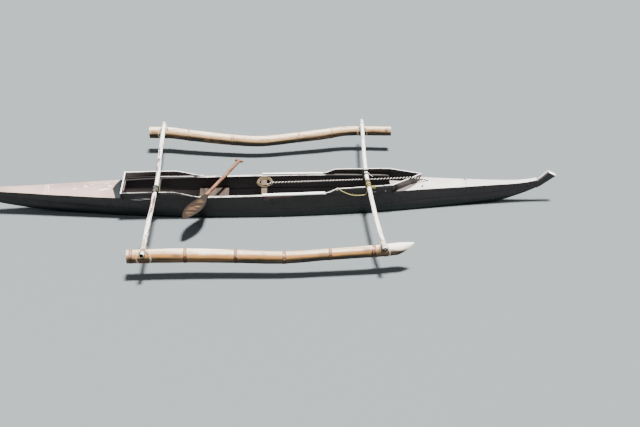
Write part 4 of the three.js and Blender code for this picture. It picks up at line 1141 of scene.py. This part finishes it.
def aft_board():
    """Board across the hull, wide above the rails and narrow between the strakes."""
    foot = share_z(AFT_BOARD_X, SEAM_SHARE) + GAP
    shoulder = strake_top(AFT_BOARD_X) + 2 * GAP
    inner = side_half(AFT_BOARD_X, foot) - STRAKE_THICK - 0.004
    outer = side_half(AFT_BOARD_X, strake_top(AFT_BOARD_X)) - STRAKE_THICK - 0.004
    low = [(-inner, foot), (inner, foot), (outer, shoulder), (-outer, shoulder)]
    rings = [[(x, y, z) for y, z in low] for x in (AFT_BOARD_X, AFT_BOARD_X + BOARD_THICK)]
    put(loft("aft_board_foot", rings, [INNER_WOOD]), "hull_paint", "coaming_aft_board")
    rings = []
    for y in spread(-AFT_BOARD_HALF, AFT_BOARD_HALF, 0.02):
        rings.append([worn((AFT_BOARD_X + a, y, z), 0.0008, 12)
                      for a, z in rounded(0, BOARD_THICK, shoulder, COAMING_TOP, 0.003)])

    def pick(center, normal):
        return 1 if normal.z > 0.5 else (2 if normal.x > 0.5 else 0)

    put(loft("aft_board_top", rings, [HULL_PAINT, EDGE_PAINT, INNER_WOOD], pick), "hull_paint",
        "coaming_aft_board")


rails_and_boards()
battens()
breakwater()
cross_boards()
aft_board()


# Bow and stern tips

BOW_TIP = [(2.4303, 0.196, 0.130, 0.024), (2.474, 0.232, 0.154, 0.025), (2.530, 0.286, 0.196, 0.025),
           (2.598, 0.252, 0.246, 0.023)]
STERN_TIP = [(-2.5603, 0.231, 0.170, 0.020), (-2.604, 0.252, 0.194, 0.020), (-2.630, 0.262, 0.216, 0.018)]


def tip_block(name, rows, node):
    rings = []
    for x, top, under, half in rows:
        ring = [(x, half, top), (x, 0, top + 0.0005), (x, -half, top), (x, -half * 0.6, under),
                (x, half * 0.6, under)]
        rings.append(ring)

    def pick(center, normal):
        return 1 if normal.z > 0.45 else 0

    obj = loft(name, rings, [HULL_PAINT, TIP_PAINT], pick)
    bevel = obj.modifiers.new("worn_edges", "BEVEL")
    bevel.width = 0.003
    bevel.segments = 3
    put(obj, "hull_paint", node)


tip_block("bow_tip_block", BOW_TIP, "bow_tip")
tip_block("stern_tip_block", STERN_TIP, "stern_tip")


# Poles and floats


def pole_at(rows, at):
    """Side place, height and radius of a pole at a place along it."""
    return [value_at(rows, column, at) for column in (1, 2, 3)]


def pole_ring(rows, axis, at, sides, share=1.0, swell=0.0, rough=0.0):
    """Ring round a pole along X or Y; share scales its radius, swell adds to it."""
    side, z, r = pole_at(rows, at)
    r = r * share + swell

    def place(c, s):
        p = (at, side + r * c, z + r * s) if axis == "x" else (side + r * c, at, z + r * s)
        return worn(p, rough, 14)

    return turned(sides, place)


def hollow_pole(name, rows, axis, sides, materials, nodes=(), open_ends=(True, False), bands=THIN_BANDS):
    """Pole with open, hollow ends: skin, cut face and dark bore are one mesh."""
    def swell(at):
        return sum(NODE_SWELL * math.exp(-((at - n) / 0.006) ** 2)
                   + NODE_SWELL * 0.5 * math.exp(-((at - n - 0.016) / 0.004) ** 2) for n in nodes)

    first, last = rows[0][0], rows[-1][0]
    places = spread(first, last, POLE_STEP)
    for n in nodes:
        places += [n + d for d in NODE_RINGS]
    places = sorted({round(p, 4) for p in places if first <= p <= last})
    rings = [pole_ring(rows, axis, at, sides, swell=swell(at), rough=0.0012) for at in places]
    bore = [BORE_DEEP * part for part in (1.0, 0.5, 0.0)]
    if open_ends[0]:
        rings = [pole_ring(rows, axis, first + d, sides, BORE_SHARE) for d in bore] + rings
    if open_ends[1]:
        rings += [pole_ring(rows, axis, last - d, sides, BORE_SHARE) for d in reversed(bore)]
    along = 0 if axis == "x" else 1

    def pick(center, normal):
        at = center[along]
        side, z, r = pole_at(rows, at)
        out = math.hypot(center[1 - along] - side, center.z - z)
        to_end = min(at - first, last - at)
        if abs(normal[along]) > 0.8 and to_end < 0.004:
            return 2
        if out < r * (BORE_SHARE + 0.06) and to_end < BORE_DEEP + 0.01:
            return 3
        return 1 if any(low < at - n < high for n in nodes for low, high in bands) else 0

    return loft(name, rings, materials, pick, sharp=50)


def booms():
    for node, rows, paint, cut in (("boom_aft", AFT_BOOM, AFT_POLE_PAINT, CUT_BAMBOO),
                                   ("boom_fore", FORE_BOOM, FORE_POLE_PAINT, BORE_DARK)):
        put(hollow_pole(f"{node}_pole", rows, "y", 28, [paint, paint, cut, BORE_DARK]), "pole_paint", node)


def boom_core():
    """Pale pith left in the open end of the fore boom."""
    end, x, z = FORE_BOOM[0][:3]
    rings = []
    for d, r in ((0.001, 0.0060), (0.003, 0.0078), (0.020, 0.0082), (0.060, 0.0082)):
        rings.append(turned(12, lambda c, s: worn((x + r * c, end + d, z + r * s), 0.0008, 90)))
    put(loft("boom_fore_pith", rings, [CUT_BAMBOO], sharp=60), "pole_paint")


def extruded(bm, edges):
    """The new corners, rim and faces that pulling out edges makes."""
    made = bmesh.ops.extrude_edge_only(bm, edges=edges)["geom"]
    corners = [g for g in made if isinstance(g, bmesh.types.BMVert)]
    rim = [g for g in made if isinstance(g, bmesh.types.BMEdge) and all(v in corners for v in g.verts)]
    return corners, rim, [g for g in made if isinstance(g, bmesh.types.BMFace)]


def slant_cut(obj):
    """Cuts the starboard float's nose along the slant and hollows the cut face."""
    foot = Vector((NOSE_FOOT_X, 0, NOSE_FOOT_Z))
    slope = Vector((NOSE_TOP_X, 0, NOSE_TOP_Z)) - foot
    normal = Vector((slope.z, 0, -slope.x)).normalized()
    bm = bmesh.new()
    bm.from_mesh(obj.data)
    whole = bm.verts[:] + bm.edges[:] + bm.faces[:]
    cut = bmesh.ops.bisect_plane(bm, geom=whole, plane_co=foot, plane_no=normal, clear_outer=True)
    mouth, rim, face = extruded(bm, [e for e in cut["geom_cut"] if isinstance(e, bmesh.types.BMEdge)])
    middle = sum((v.co for v in mouth), Vector()) / len(mouth)
    for v in mouth:
        v.co = middle + (v.co - middle) * BORE_SHARE
    floor, rim, wall = extruded(bm, rim)
    for v in floor:
        v.co.x -= NOSE_BORE_DEEP
    for faces, material in ((face, 2), (wall, 3)):
        for f in faces:
            f.material_index = material
    bmesh.ops.edgeloop_fill(bm, edges=rim, mat_nr=3)
    bmesh.ops.recalc_face_normals(bm, faces=bm.faces[:])
    bm.to_mesh(obj.data)
    bm.free()


def draw_to_point(obj):
    """Narrows the starboard float's nose towards its tip."""
    for v in obj.data.vertices:
        t = min(max((v.co.x - NOSE_TAPER_X) / (NOSE_TOP_X - NOSE_TAPER_X), 0), 1)
        middle = value_at(STARBOARD_FLOAT, 1, min(v.co.x, STARBOARD_FLOAT[-1][0]))
        v.co.y = middle + (v.co.y - middle) * (1 - 0.85 * t ** 1.5)
    obj.data.set_sharp_from_angle(angle=math.radians(50))


def floats():
    near = hollow_pole("float_starboard_bamboo", STARBOARD_FLOAT, "x", 36,
                       [NEAR_BAMBOO, NEAR_NODE, CUT_BAMBOO, BORE_DARK], STARBOARD_NODES, bands=WIDE_BAND)
    slant_cut(near)
    draw_to_point(near)
    put(near, "bamboo", "float_starboard")
    put(hollow_pole("float_port_bamboo", PORT_FLOAT, "x", 36, [FAR_BAMBOO, FAR_NODE, CUT_BAMBOO, BORE_DARK],
                    PORT_NODES, (True, True)), "bamboo", "float_port")


boom_core()
booms()
floats()


# Lashings


def cord_piece(name, points, material, cord, *nodes):
    return put(curve_object(name, points, cord, material, sides=2), "lashing_cord", *nodes)


def convex(points):
    """Corner points of the convex outline round a list of pairs."""
    points = sorted(points)

    def chain(items):
        kept = []
        for p in items:
            while len(kept) > 1 and ((kept[-1][0] - kept[-2][0]) * (p[1] - kept[-2][1])
                                     - (kept[-1][1] - kept[-2][1]) * (p[0] - kept[-2][0])) <= 0:
                kept.pop()
            kept.append(p)
        return kept[:-1]

    return chain(points) + chain(list(reversed(points)))


def even(outline, count):
    """The closed outline as count points the same distance apart."""
    closed = outline + [outline[0]]
    lengths = [math.dist(a, b) for a, b in zip(closed, closed[1:])]
    out = []
    for k in range(count):
        left = sum(lengths) * k / count
        i = 0
        while left > lengths[i]:
            left -= lengths[i]
            i += 1
        t = left / lengths[i]
        out.append(tuple(a + (b - a) * t for a, b in zip(closed[i], closed[i + 1])))
    return out


def oval(a, b, radius_a, radius_b):
    return turned(24, lambda c, s: (a + radius_a * c, b + radius_b * s))


def float_lashing(name, float_rows, boom_rows, turns=4, cord=0.0011, steps=40):
    """Cross lashing: turns on both diagonals over the boom and under the float."""
    x = value_at(boom_rows, 1, float_rows[0][1])
    fy, fz, fr = pole_at(float_rows, x)
    bx, bz, br = pole_at(boom_rows, fy)
    root2 = math.sqrt(2)
    for word, sign, layer in (("under", 1, cord * 1.3), ("over", -1, cord * 2.6)):
        along = Vector((1, sign, 0)).normalized()
        across = Vector((-along.y, along.x, 0))
        points = []
        for i in range(turns * steps):
            w = (i / steps - turns / 2) * cord * 2.15
            outline = convex(oval(-w * sign, fz, (fr + layer) * root2, fr + layer)
                             + oval(w * sign, bz, (br + layer) * root2, br + layer))
            s, z = even(outline, steps)[i % steps]
            points.append(Vector((bx, fy, 0)) + along * s + across * w + Vector((0, 0, z)))
        cord_piece(f"{name}_turns_{word}", points, LINE_CORD, cord, name)


def boom_wrap(name, node, rows, y, width, material, foot, half_wide, cord=0.0025):
    """Turns round a boom and the piece below it, side by side along the boom."""
    turns = round(width / (cord * 2.1))
    points = []
    for k in range(turns):
        at = y - width / 2 + width * k / (turns - 1)
        bx, bz, br = pole_at(rows, at)
        loose = cord * (1.15 + 0.5 * (k % 2))
        low = [(side * half_wide, foot - loose) for side in (-1, 1)]
        outline = even(convex(oval(0, bz, br + loose, br + loose) + low), 36)
        for i, (s, z) in enumerate(outline):
            points.append(worn((bx + s, at + cord * 2.1 * i / 36, z), 0.0012, 60, k * 0.7))
    cord_piece(name, points, material, cord, node)


def boom_ring(name, rows, y, turns, material, slant, reach, cord=0.0025):
    """Tight turns round the boom alone; slant sets how far the sides stand off in y from the top."""
    points = []
    for i in range(turns * 24):
        turn = 2 * math.pi * (i % 24) / 24
        at = y + i / 24 * cord * 2.1 - slant * (1 - math.sin(turn)) / 2
        bx, bz, br = pole_at(rows, at)
        out = br + reach
        p = (bx + out * math.cos(turn), at, bz + out * math.sin(turn))
        points.append(worn(p, 0.0008, 60, i // 24))
    cord_piece(name, points, material, cord)


def saddle_turns(name, rows, tops, inner_y, outer_y, foot, material, cord=0.0025, cross=0.010):
    """Turns over the boom whose legs go down both faces of the board below and through a hole in it."""
    points = []
    for k, y in enumerate(tops):
        bx, bz, br = pole_at(rows, y)
        out = br + cord * (1.2 + 0.5 * (k % 2))
        lean = cross if k % 2 else -cross
        leg = bx + out + cord
        route = [(bx - out - cord, inner_y, foot), (bx - out, (inner_y + y) / 2, bz - 0.006),
                 (bx - out * 0.70, y - lean * 0.4, bz + out * 0.72), (bx, y, bz + out),
                 (bx + out * 0.70, y + lean * 0.4, bz + out * 0.72),
                 (bx + out, (outer_y + y) / 2, bz - 0.006), (leg, outer_y, foot + 0.004),
                 (leg, outer_y, foot), (leg, inner_y, foot), (bx, inner_y, foot - 0.003)]
        points += [worn(p, 0.0010, 60, k) for p in route]
    cord_piece(name, smooth_path(points, 3), material, cord)


def board_turns(name, first_x, turns, top, foot, material, cord=0.002):
    """Turns of cord round the starboard fore board, through a hole below its top edge."""
    points = []
    half, high = SIDE_BOARD_THICK / 2 + cord * 1.2, (top - foot) / 2
    for k in range(turns):
        x = first_x + 0.0044 * k
        middle = 0.003 - hull("sheer_half", x)
        for i in range(16):
            turn = 2 * math.pi * i / 16
            p = (x + cord * 2.1 * i / 16, middle + half * math.cos(turn),
                 foot + high + high * math.sin(turn))
            points.append(worn(p, 0.0008, 60, k))
    cord_piece(name, points, material, cord)


def tail(name, points, material, cord=0.0024):
    cord_piece(name, smooth_path(points, 5), material, cord)


def aft_lashings():
    foot = rail_top(AFT_BOOM_X) - THWART_THICK
    boom_wrap("aft_boom_wrap", "hull_lashing_aft", AFT_BOOM, -0.155, 0.028, GREY_CORD, foot, 0.024)
    tops = [-0.172 - 0.0062 * k for k in range(13)]
    saddle_turns("aft_boom_knot", AFT_BOOM, tops, -0.1930, -0.2120, 0.242, GREY_CORD)
    saddle_turns("aft_boom_knot_black", AFT_BOOM, (-0.150, -0.184, -0.216, -0.262), -0.1940, -0.2130, 0.240,
                 BLACK_CORD, 0.0034, 0.030)
    tail("aft_boom_loop_a", [(-0.9010, 0.004, 0.286), (-0.8950, -0.030, 0.282), (-0.8935, -0.075, 0.284),
                             (-0.8960, -0.110, 0.287), (-0.8990, -0.148, 0.291)], OLIVE_CORD, 0.003)
    tail("aft_boom_loop_b", [(-0.8960, -0.128, 0.290), (-0.8890, -0.150, 0.280), (-0.8860, -0.175, 0.270),
                             (-0.8875, -0.190, 0.258), (-0.8915, -0.194, 0.244)], OLIVE_CORD, 0.003)


def fore_lashings():
    foot = rail_top(FORE_BOOM_X) - THWART_THICK
    boom_wrap("fore_boom_wrap_port", "hull_lashing_fore_port", FORE_BOOM, 0.066, 0.030, BLACK_CORD,
              foot, 0.024)
    boom_ring("fore_boom_ring_black", FORE_BOOM, 0.002, 4, BLACK_CORD, 0.006, 0.0025)
    for k in range(7):
        left = 0.8905 - 0.0030 * (k % 4)
        points = [(left + 0.006, 0.088 - 0.004 * k, 0.303), (left, 0.060, 0.295),
                  (left - 0.001, 0.010, 0.290 - 0.003 * (k // 4)), (left + 0.002, -0.030 - 0.006 * k, 0.285),
                  (left + 0.005, -0.060 - 0.005 * k, 0.270)]
        tail(f"fore_boom_bundle_{k + 1}", points, BLACK_CORD, 0.0030)
    boom_ring("fore_boom_ring_rust", FORE_BOOM, -0.156, 9, RUST_CORD, 0.004, 0.0022)
    boom_wrap("fore_boom_wrap_starboard", "hull_lashing_fore_starboard", FORE_BOOM, -0.153, 0.026,
              OLIVE_CORD, rail_top(FORE_BOOM_X) + 0.004, 0.016)
    saddle_turns("fore_boom_knot_yellow", FORE_BOOM, (-0.178, -0.186, -0.206, -0.214, -0.236, -0.244),
                 -0.1640, -0.1860, 0.250, YELLOW_CORD, 0.0024, 0.022)
    saddle_turns("fore_boom_knot_black", FORE_BOOM, (-0.194, -0.200, -0.224, -0.230),
                 -0.1655, -0.1875, 0.254, BLACK_CORD, 0.0028, 0.022)
    top = FORE_SIDE_LOW + 0.0095
    board_turns("fore_board_turns", 0.948, 8, top, top - 0.030, YELLOW_CORD)
    board_turns("slack_cord_knot", 0.640, 4, FORE_SIDE_LOW + 0.003, FORE_SIDE_LOW - 0.020, WHITE_CORD)
    tail("fore_wrap_tail", [(0.930, 0.024, 0.296), (0.938, 0.022, 0.289), (0.954, 0.019, 0.276),
                            (0.974, 0.014, 0.261)], WHITE_CORD)


for end, boom_rows in (("aft", AFT_BOOM), ("fore", FORE_BOOM)):
    float_lashing(f"float_lashing_{end}_starboard", STARBOARD_FLOAT, boom_rows)
    float_lashing(f"float_lashing_{end}_port", PORT_FLOAT, boom_rows)
aft_lashings()
fore_lashings()


# Coil on the thwart and the laid rope to the foredeck


def coil():
    """One cord wound loosely: each layer spirals, then the next lies across it."""
    radius = COIL_DIAMETER / 2
    base = rail_top(THWART_X) + GAP + radius
    steps = 36
    lanes = [(lane, layer) for layer, row in enumerate(COIL_LAYERS) for lane in row]
    points = []
    for k, (lane, layer) in enumerate(lanes):
        next_lane, next_layer = lanes[min(k + 1, len(lanes) - 1)]
        for i in range(steps):
            turn = 2 * math.pi * i / steps
            share = max(0.0, i / steps - 0.6) / 0.4
            share = share * share * (3 - 2 * share)
            reach = lane + (next_lane - lane) * share
            sway = 0.0004 * math.sin(3 * turn + layer * 2.1)
            out = reach + sway
            points.append(Vector((COIL_AT[0] + out * math.cos(turn),
                                  COIL_AT[1] + out * math.sin(turn) * COIL_STRETCH,
                                  base + (layer + (next_layer - layer) * share) * COIL_RISE)))
    obj = curve_object("cord_coil_turns", points, radius, TAN_CORD, sides=3)
    put(obj, "coil_cord", "cord_coil")


coil()


def bow_rope():
    """Rope laid of a white and a black strand, taut from the thwart over the starboard breakwater to the
    foredeck; the black strand is painted shade for the shaded grooves of a white rope.
    """
    route = smooth_path([(0.040, -0.006, 0.214), (0.062, -0.010, 0.222), (0.092, -0.016, 0.2375),
                         (0.127, -0.020, 0.2400), (0.300, -0.022, 0.2440), (0.600, -0.024, 0.2500),
                         (0.860, -0.027, 0.2555), (0.930, -0.028, 0.2568), (1.000, -0.034, 0.2600),
                         (1.200, -0.058, 0.2780), (1.284, -0.068, 0.2872), (1.302, -0.065, 0.2860),
                         (1.380, -0.037, 0.2580), (1.440, -0.016, 0.2350), (1.458, -0.010, 0.2250)], 48)
    travelled = 0.0
    strands = [[], []]
    for i, p in enumerate(route):
        ahead = route[min(i + 1, len(route) - 1)] - route[max(i - 1, 0)]
        ahead.normalize()
        side = ahead.cross(Vector((0, 0, 1))).normalized()
        up = side.cross(ahead)
        if i:
            travelled += (p - route[i - 1]).length
        for k, strand in enumerate(strands):
            turn = 2 * math.pi * (travelled / ROPE_LAY + k / 2)
            strand.append(p + (side * math.cos(turn) + up * math.sin(turn)) * YARN_OUT)
    # Painted shade: the black strand stands for the shaded grooves between the white strands.
    for k, material in enumerate((WHITE_CORD, BLACK_CORD)):
        yarn = curve_object(f"bow_rope_strand_{k + 1}", strands[k], YARN_RADIUS, material, sides=2)
        put(yarn, "coil_cord")
    knot = []
    for i in range(61):
        turn = 2 * math.pi * i / 20
        knot.append((1.459 + KNOT_OUT * math.cos(turn), -0.010 + KNOT_OUT * math.sin(turn),
                     0.2262 + 0.0026 * i / 20))
    put(curve_object("bow_rope_knot", knot, 0.0028, WHITE_CORD, sides=2), "coil_cord")


bow_rope()


# Paddle


def paddle():
    line = Vector((PADDLE_GRIP[0] - PADDLE_BLADE[0], PADDLE_GRIP[1] - PADDLE_BLADE[1], 0))
    long = line.length
    along = line.normalized()
    across = Vector((-along.y, along.x, 0))
    start = Vector((PADDLE_BLADE[0], PADDLE_BLADE[1], PADDLE_Z))

    def place(s, side, up, wear=0.0008):
        return worn(start + along * s + across * side + Vector((0, 0, up)), wear, 20)

    def part(name, rings, material):
        put(loft(name, rings, [material], sharp=60), "paddle_wood", "paddle", body="paddle")

    rings = []
    for s in spread(0, BLADE_LONG, 0.01):
        half = value_at(BLADE_OUTLINE, 1, s)
        thick = 0.0035 + 0.0035 * s / BLADE_LONG
        ridge = 0.007 * max(0.0, (s - 0.16) / (BLADE_LONG - 0.16))
        rings.append(turned(24, lambda c, t: place(
            s, half * c, t * (thick + ridge * math.exp(-(half * c / 0.016) ** 2)))))
    part("paddle_blade", rings, BLADE_WOOD)
    rings = []
    for s in spread(0.40, long - 0.026, 0.02):
        r = SHAFT_RADIUS if s > 0.46 else SHAFT_RADIUS * (0.5 + 0.5 * (s - 0.40) / 0.06)
        rings.append(turned(18, lambda c, t: place(s, r * c, r * t, 0.0009)))
    part("paddle_shaft", rings, SHAFT_WOOD)
    rings = []
    for side in spread(-0.042, 0.042, 0.006):
        r = 0.0138 * math.sqrt(max(1 - (abs(side) / 0.0435) ** 4, 0.05))
        rings.append(turned(16, lambda c, t: place(long - 0.012 + r * c, side, r * t, 0.0006)))
    part("paddle_grip", rings, SHAFT_WOOD)


paddle()


# Corner plate, foredeck peg and nails

NAIL_RADIUS = 0.0028


def corner_plate():
    corners = [(1.115, -0.056), (1.115, -0.155), (1.124, -0.154), (1.136, -0.154), (1.243, -0.090),
               (1.243, -0.078)]
    outline = []
    for a, b in zip(corners, corners[1:] + corners[:1]):
        outline += [(a[0] + (b[0] - a[0]) * k / 6, a[1] + (b[1] - a[1]) * k / 6) for k in range(6)]
    mx = sum(x for x, _ in outline) / len(outline)
    my = sum(y for _, y in outline) / len(outline)
    rings = []
    for z, share in ((0.2502, 0.985), (0.2514, 1), (0.2556, 1), (0.2568, 0.985)):
        rings.append([worn((mx + (x - mx) * share, my + (y - my) * share, z), 0.0004, 30)
                      for x, y in outline])
    put(loft("corner_plate_wood", rings, [PLATE_PAINT], sharp=40), "white_paint", "corner_plate")


def foredeck_peg():
    rings = []
    for z, r in ((0.205, 0.006), (0.216, 0.006), (0.220, 0.005), (0.222, 0.002)):
        rings.append(turned(10, lambda c, s: (1.402 + r * c, -0.092 + r * s, z)))
    put(loft("foredeck_peg", rings, [SEAT_WOOD], sharp=40), "bare_wood")


def deck_nails():
    """A row of nails along each edge of both decks, as one mesh."""
    points, faces = [], []
    for x in spread(-2.45, 2.35, 0.14):
        if -1.22 < x < 1.42:
            continue
        for side in (-1, 1):
            y = side * (hull("sheer_half", x) - 0.009)
            z = hull("sheer_z", x) + 0.0022
            first = len(points)
            head = turned(8, lambda c, s: (x + NAIL_RADIUS * c, y + NAIL_RADIUS * s, z))
            points += head + [(p[0], p[1], z - 0.004) for p in head]
            faces.append(tuple(range(first, first + 8)))
            faces += [(first + i, first + 8 + i, first + 8 + (i + 1) % 8, first + (i + 1) % 8)
                      for i in range(8)]
            faces.append(tuple(reversed(range(first + 8, first + 16))))
    put(mesh_object("deck_nails", points, faces, [NAIL_IRON]), "deck_paint")


corner_plate()
foredeck_peg()
deck_nails()


# Floor and light

LIT_SPOT = Vector((0.0, 0.0, 0.1))


def studio():
    mesh = bpy.data.meshes.new("floor")
    mesh.from_pydata([(-40, -40, 0), (40, -40, 0), (40, 60, 0), (-40, 60, 0)], [], [(0, 1, 2, 3)])
    floor = bpy.data.objects.new("floor", mesh)
    bpy.context.scene.collection.objects.link(floor)
    p = Paint("floor_paint", 0.2, 0.85)
    p.shader.inputs["Base Color"].default_value = (0.135, 0.150, 0.158, 1)
    mesh.materials.append(p.material)
    lamps = (
        ("key", "SUN", (1.2, 0.2, 9.4), 16.5, math.radians(10), (1.0, 0.985, 0.96)),
        ("fill", "AREA", (-3.5, -6.0, 6.5), 110, 5.0, (0.96, 0.98, 1.0)),
    )
    for name, kind, at, power, size, color in lamps:
        data = bpy.data.lights.new(name, kind)
        data.energy = power
        data.color = color
        if kind == "SUN":
            data.angle = size
        else:
            data.shape = "DISK"
            data.size = size
        lamp = bpy.data.objects.new(name, data)
        lamp.location = at
        lamp.rotation_euler = (LIT_SPOT - Vector(at)).to_track_quat("-Z", "Y").to_euler()
        bpy.context.scene.collection.objects.link(lamp)
    world = bpy.data.worlds.new("studio")
    world.use_nodes = True
    sky = world.node_tree.nodes["Background"]
    sky.inputs["Color"].default_value = (0.86, 0.90, 0.93, 1)
    sky.inputs["Strength"].default_value = 0.34
    bpy.context.scene.world = world


studio()
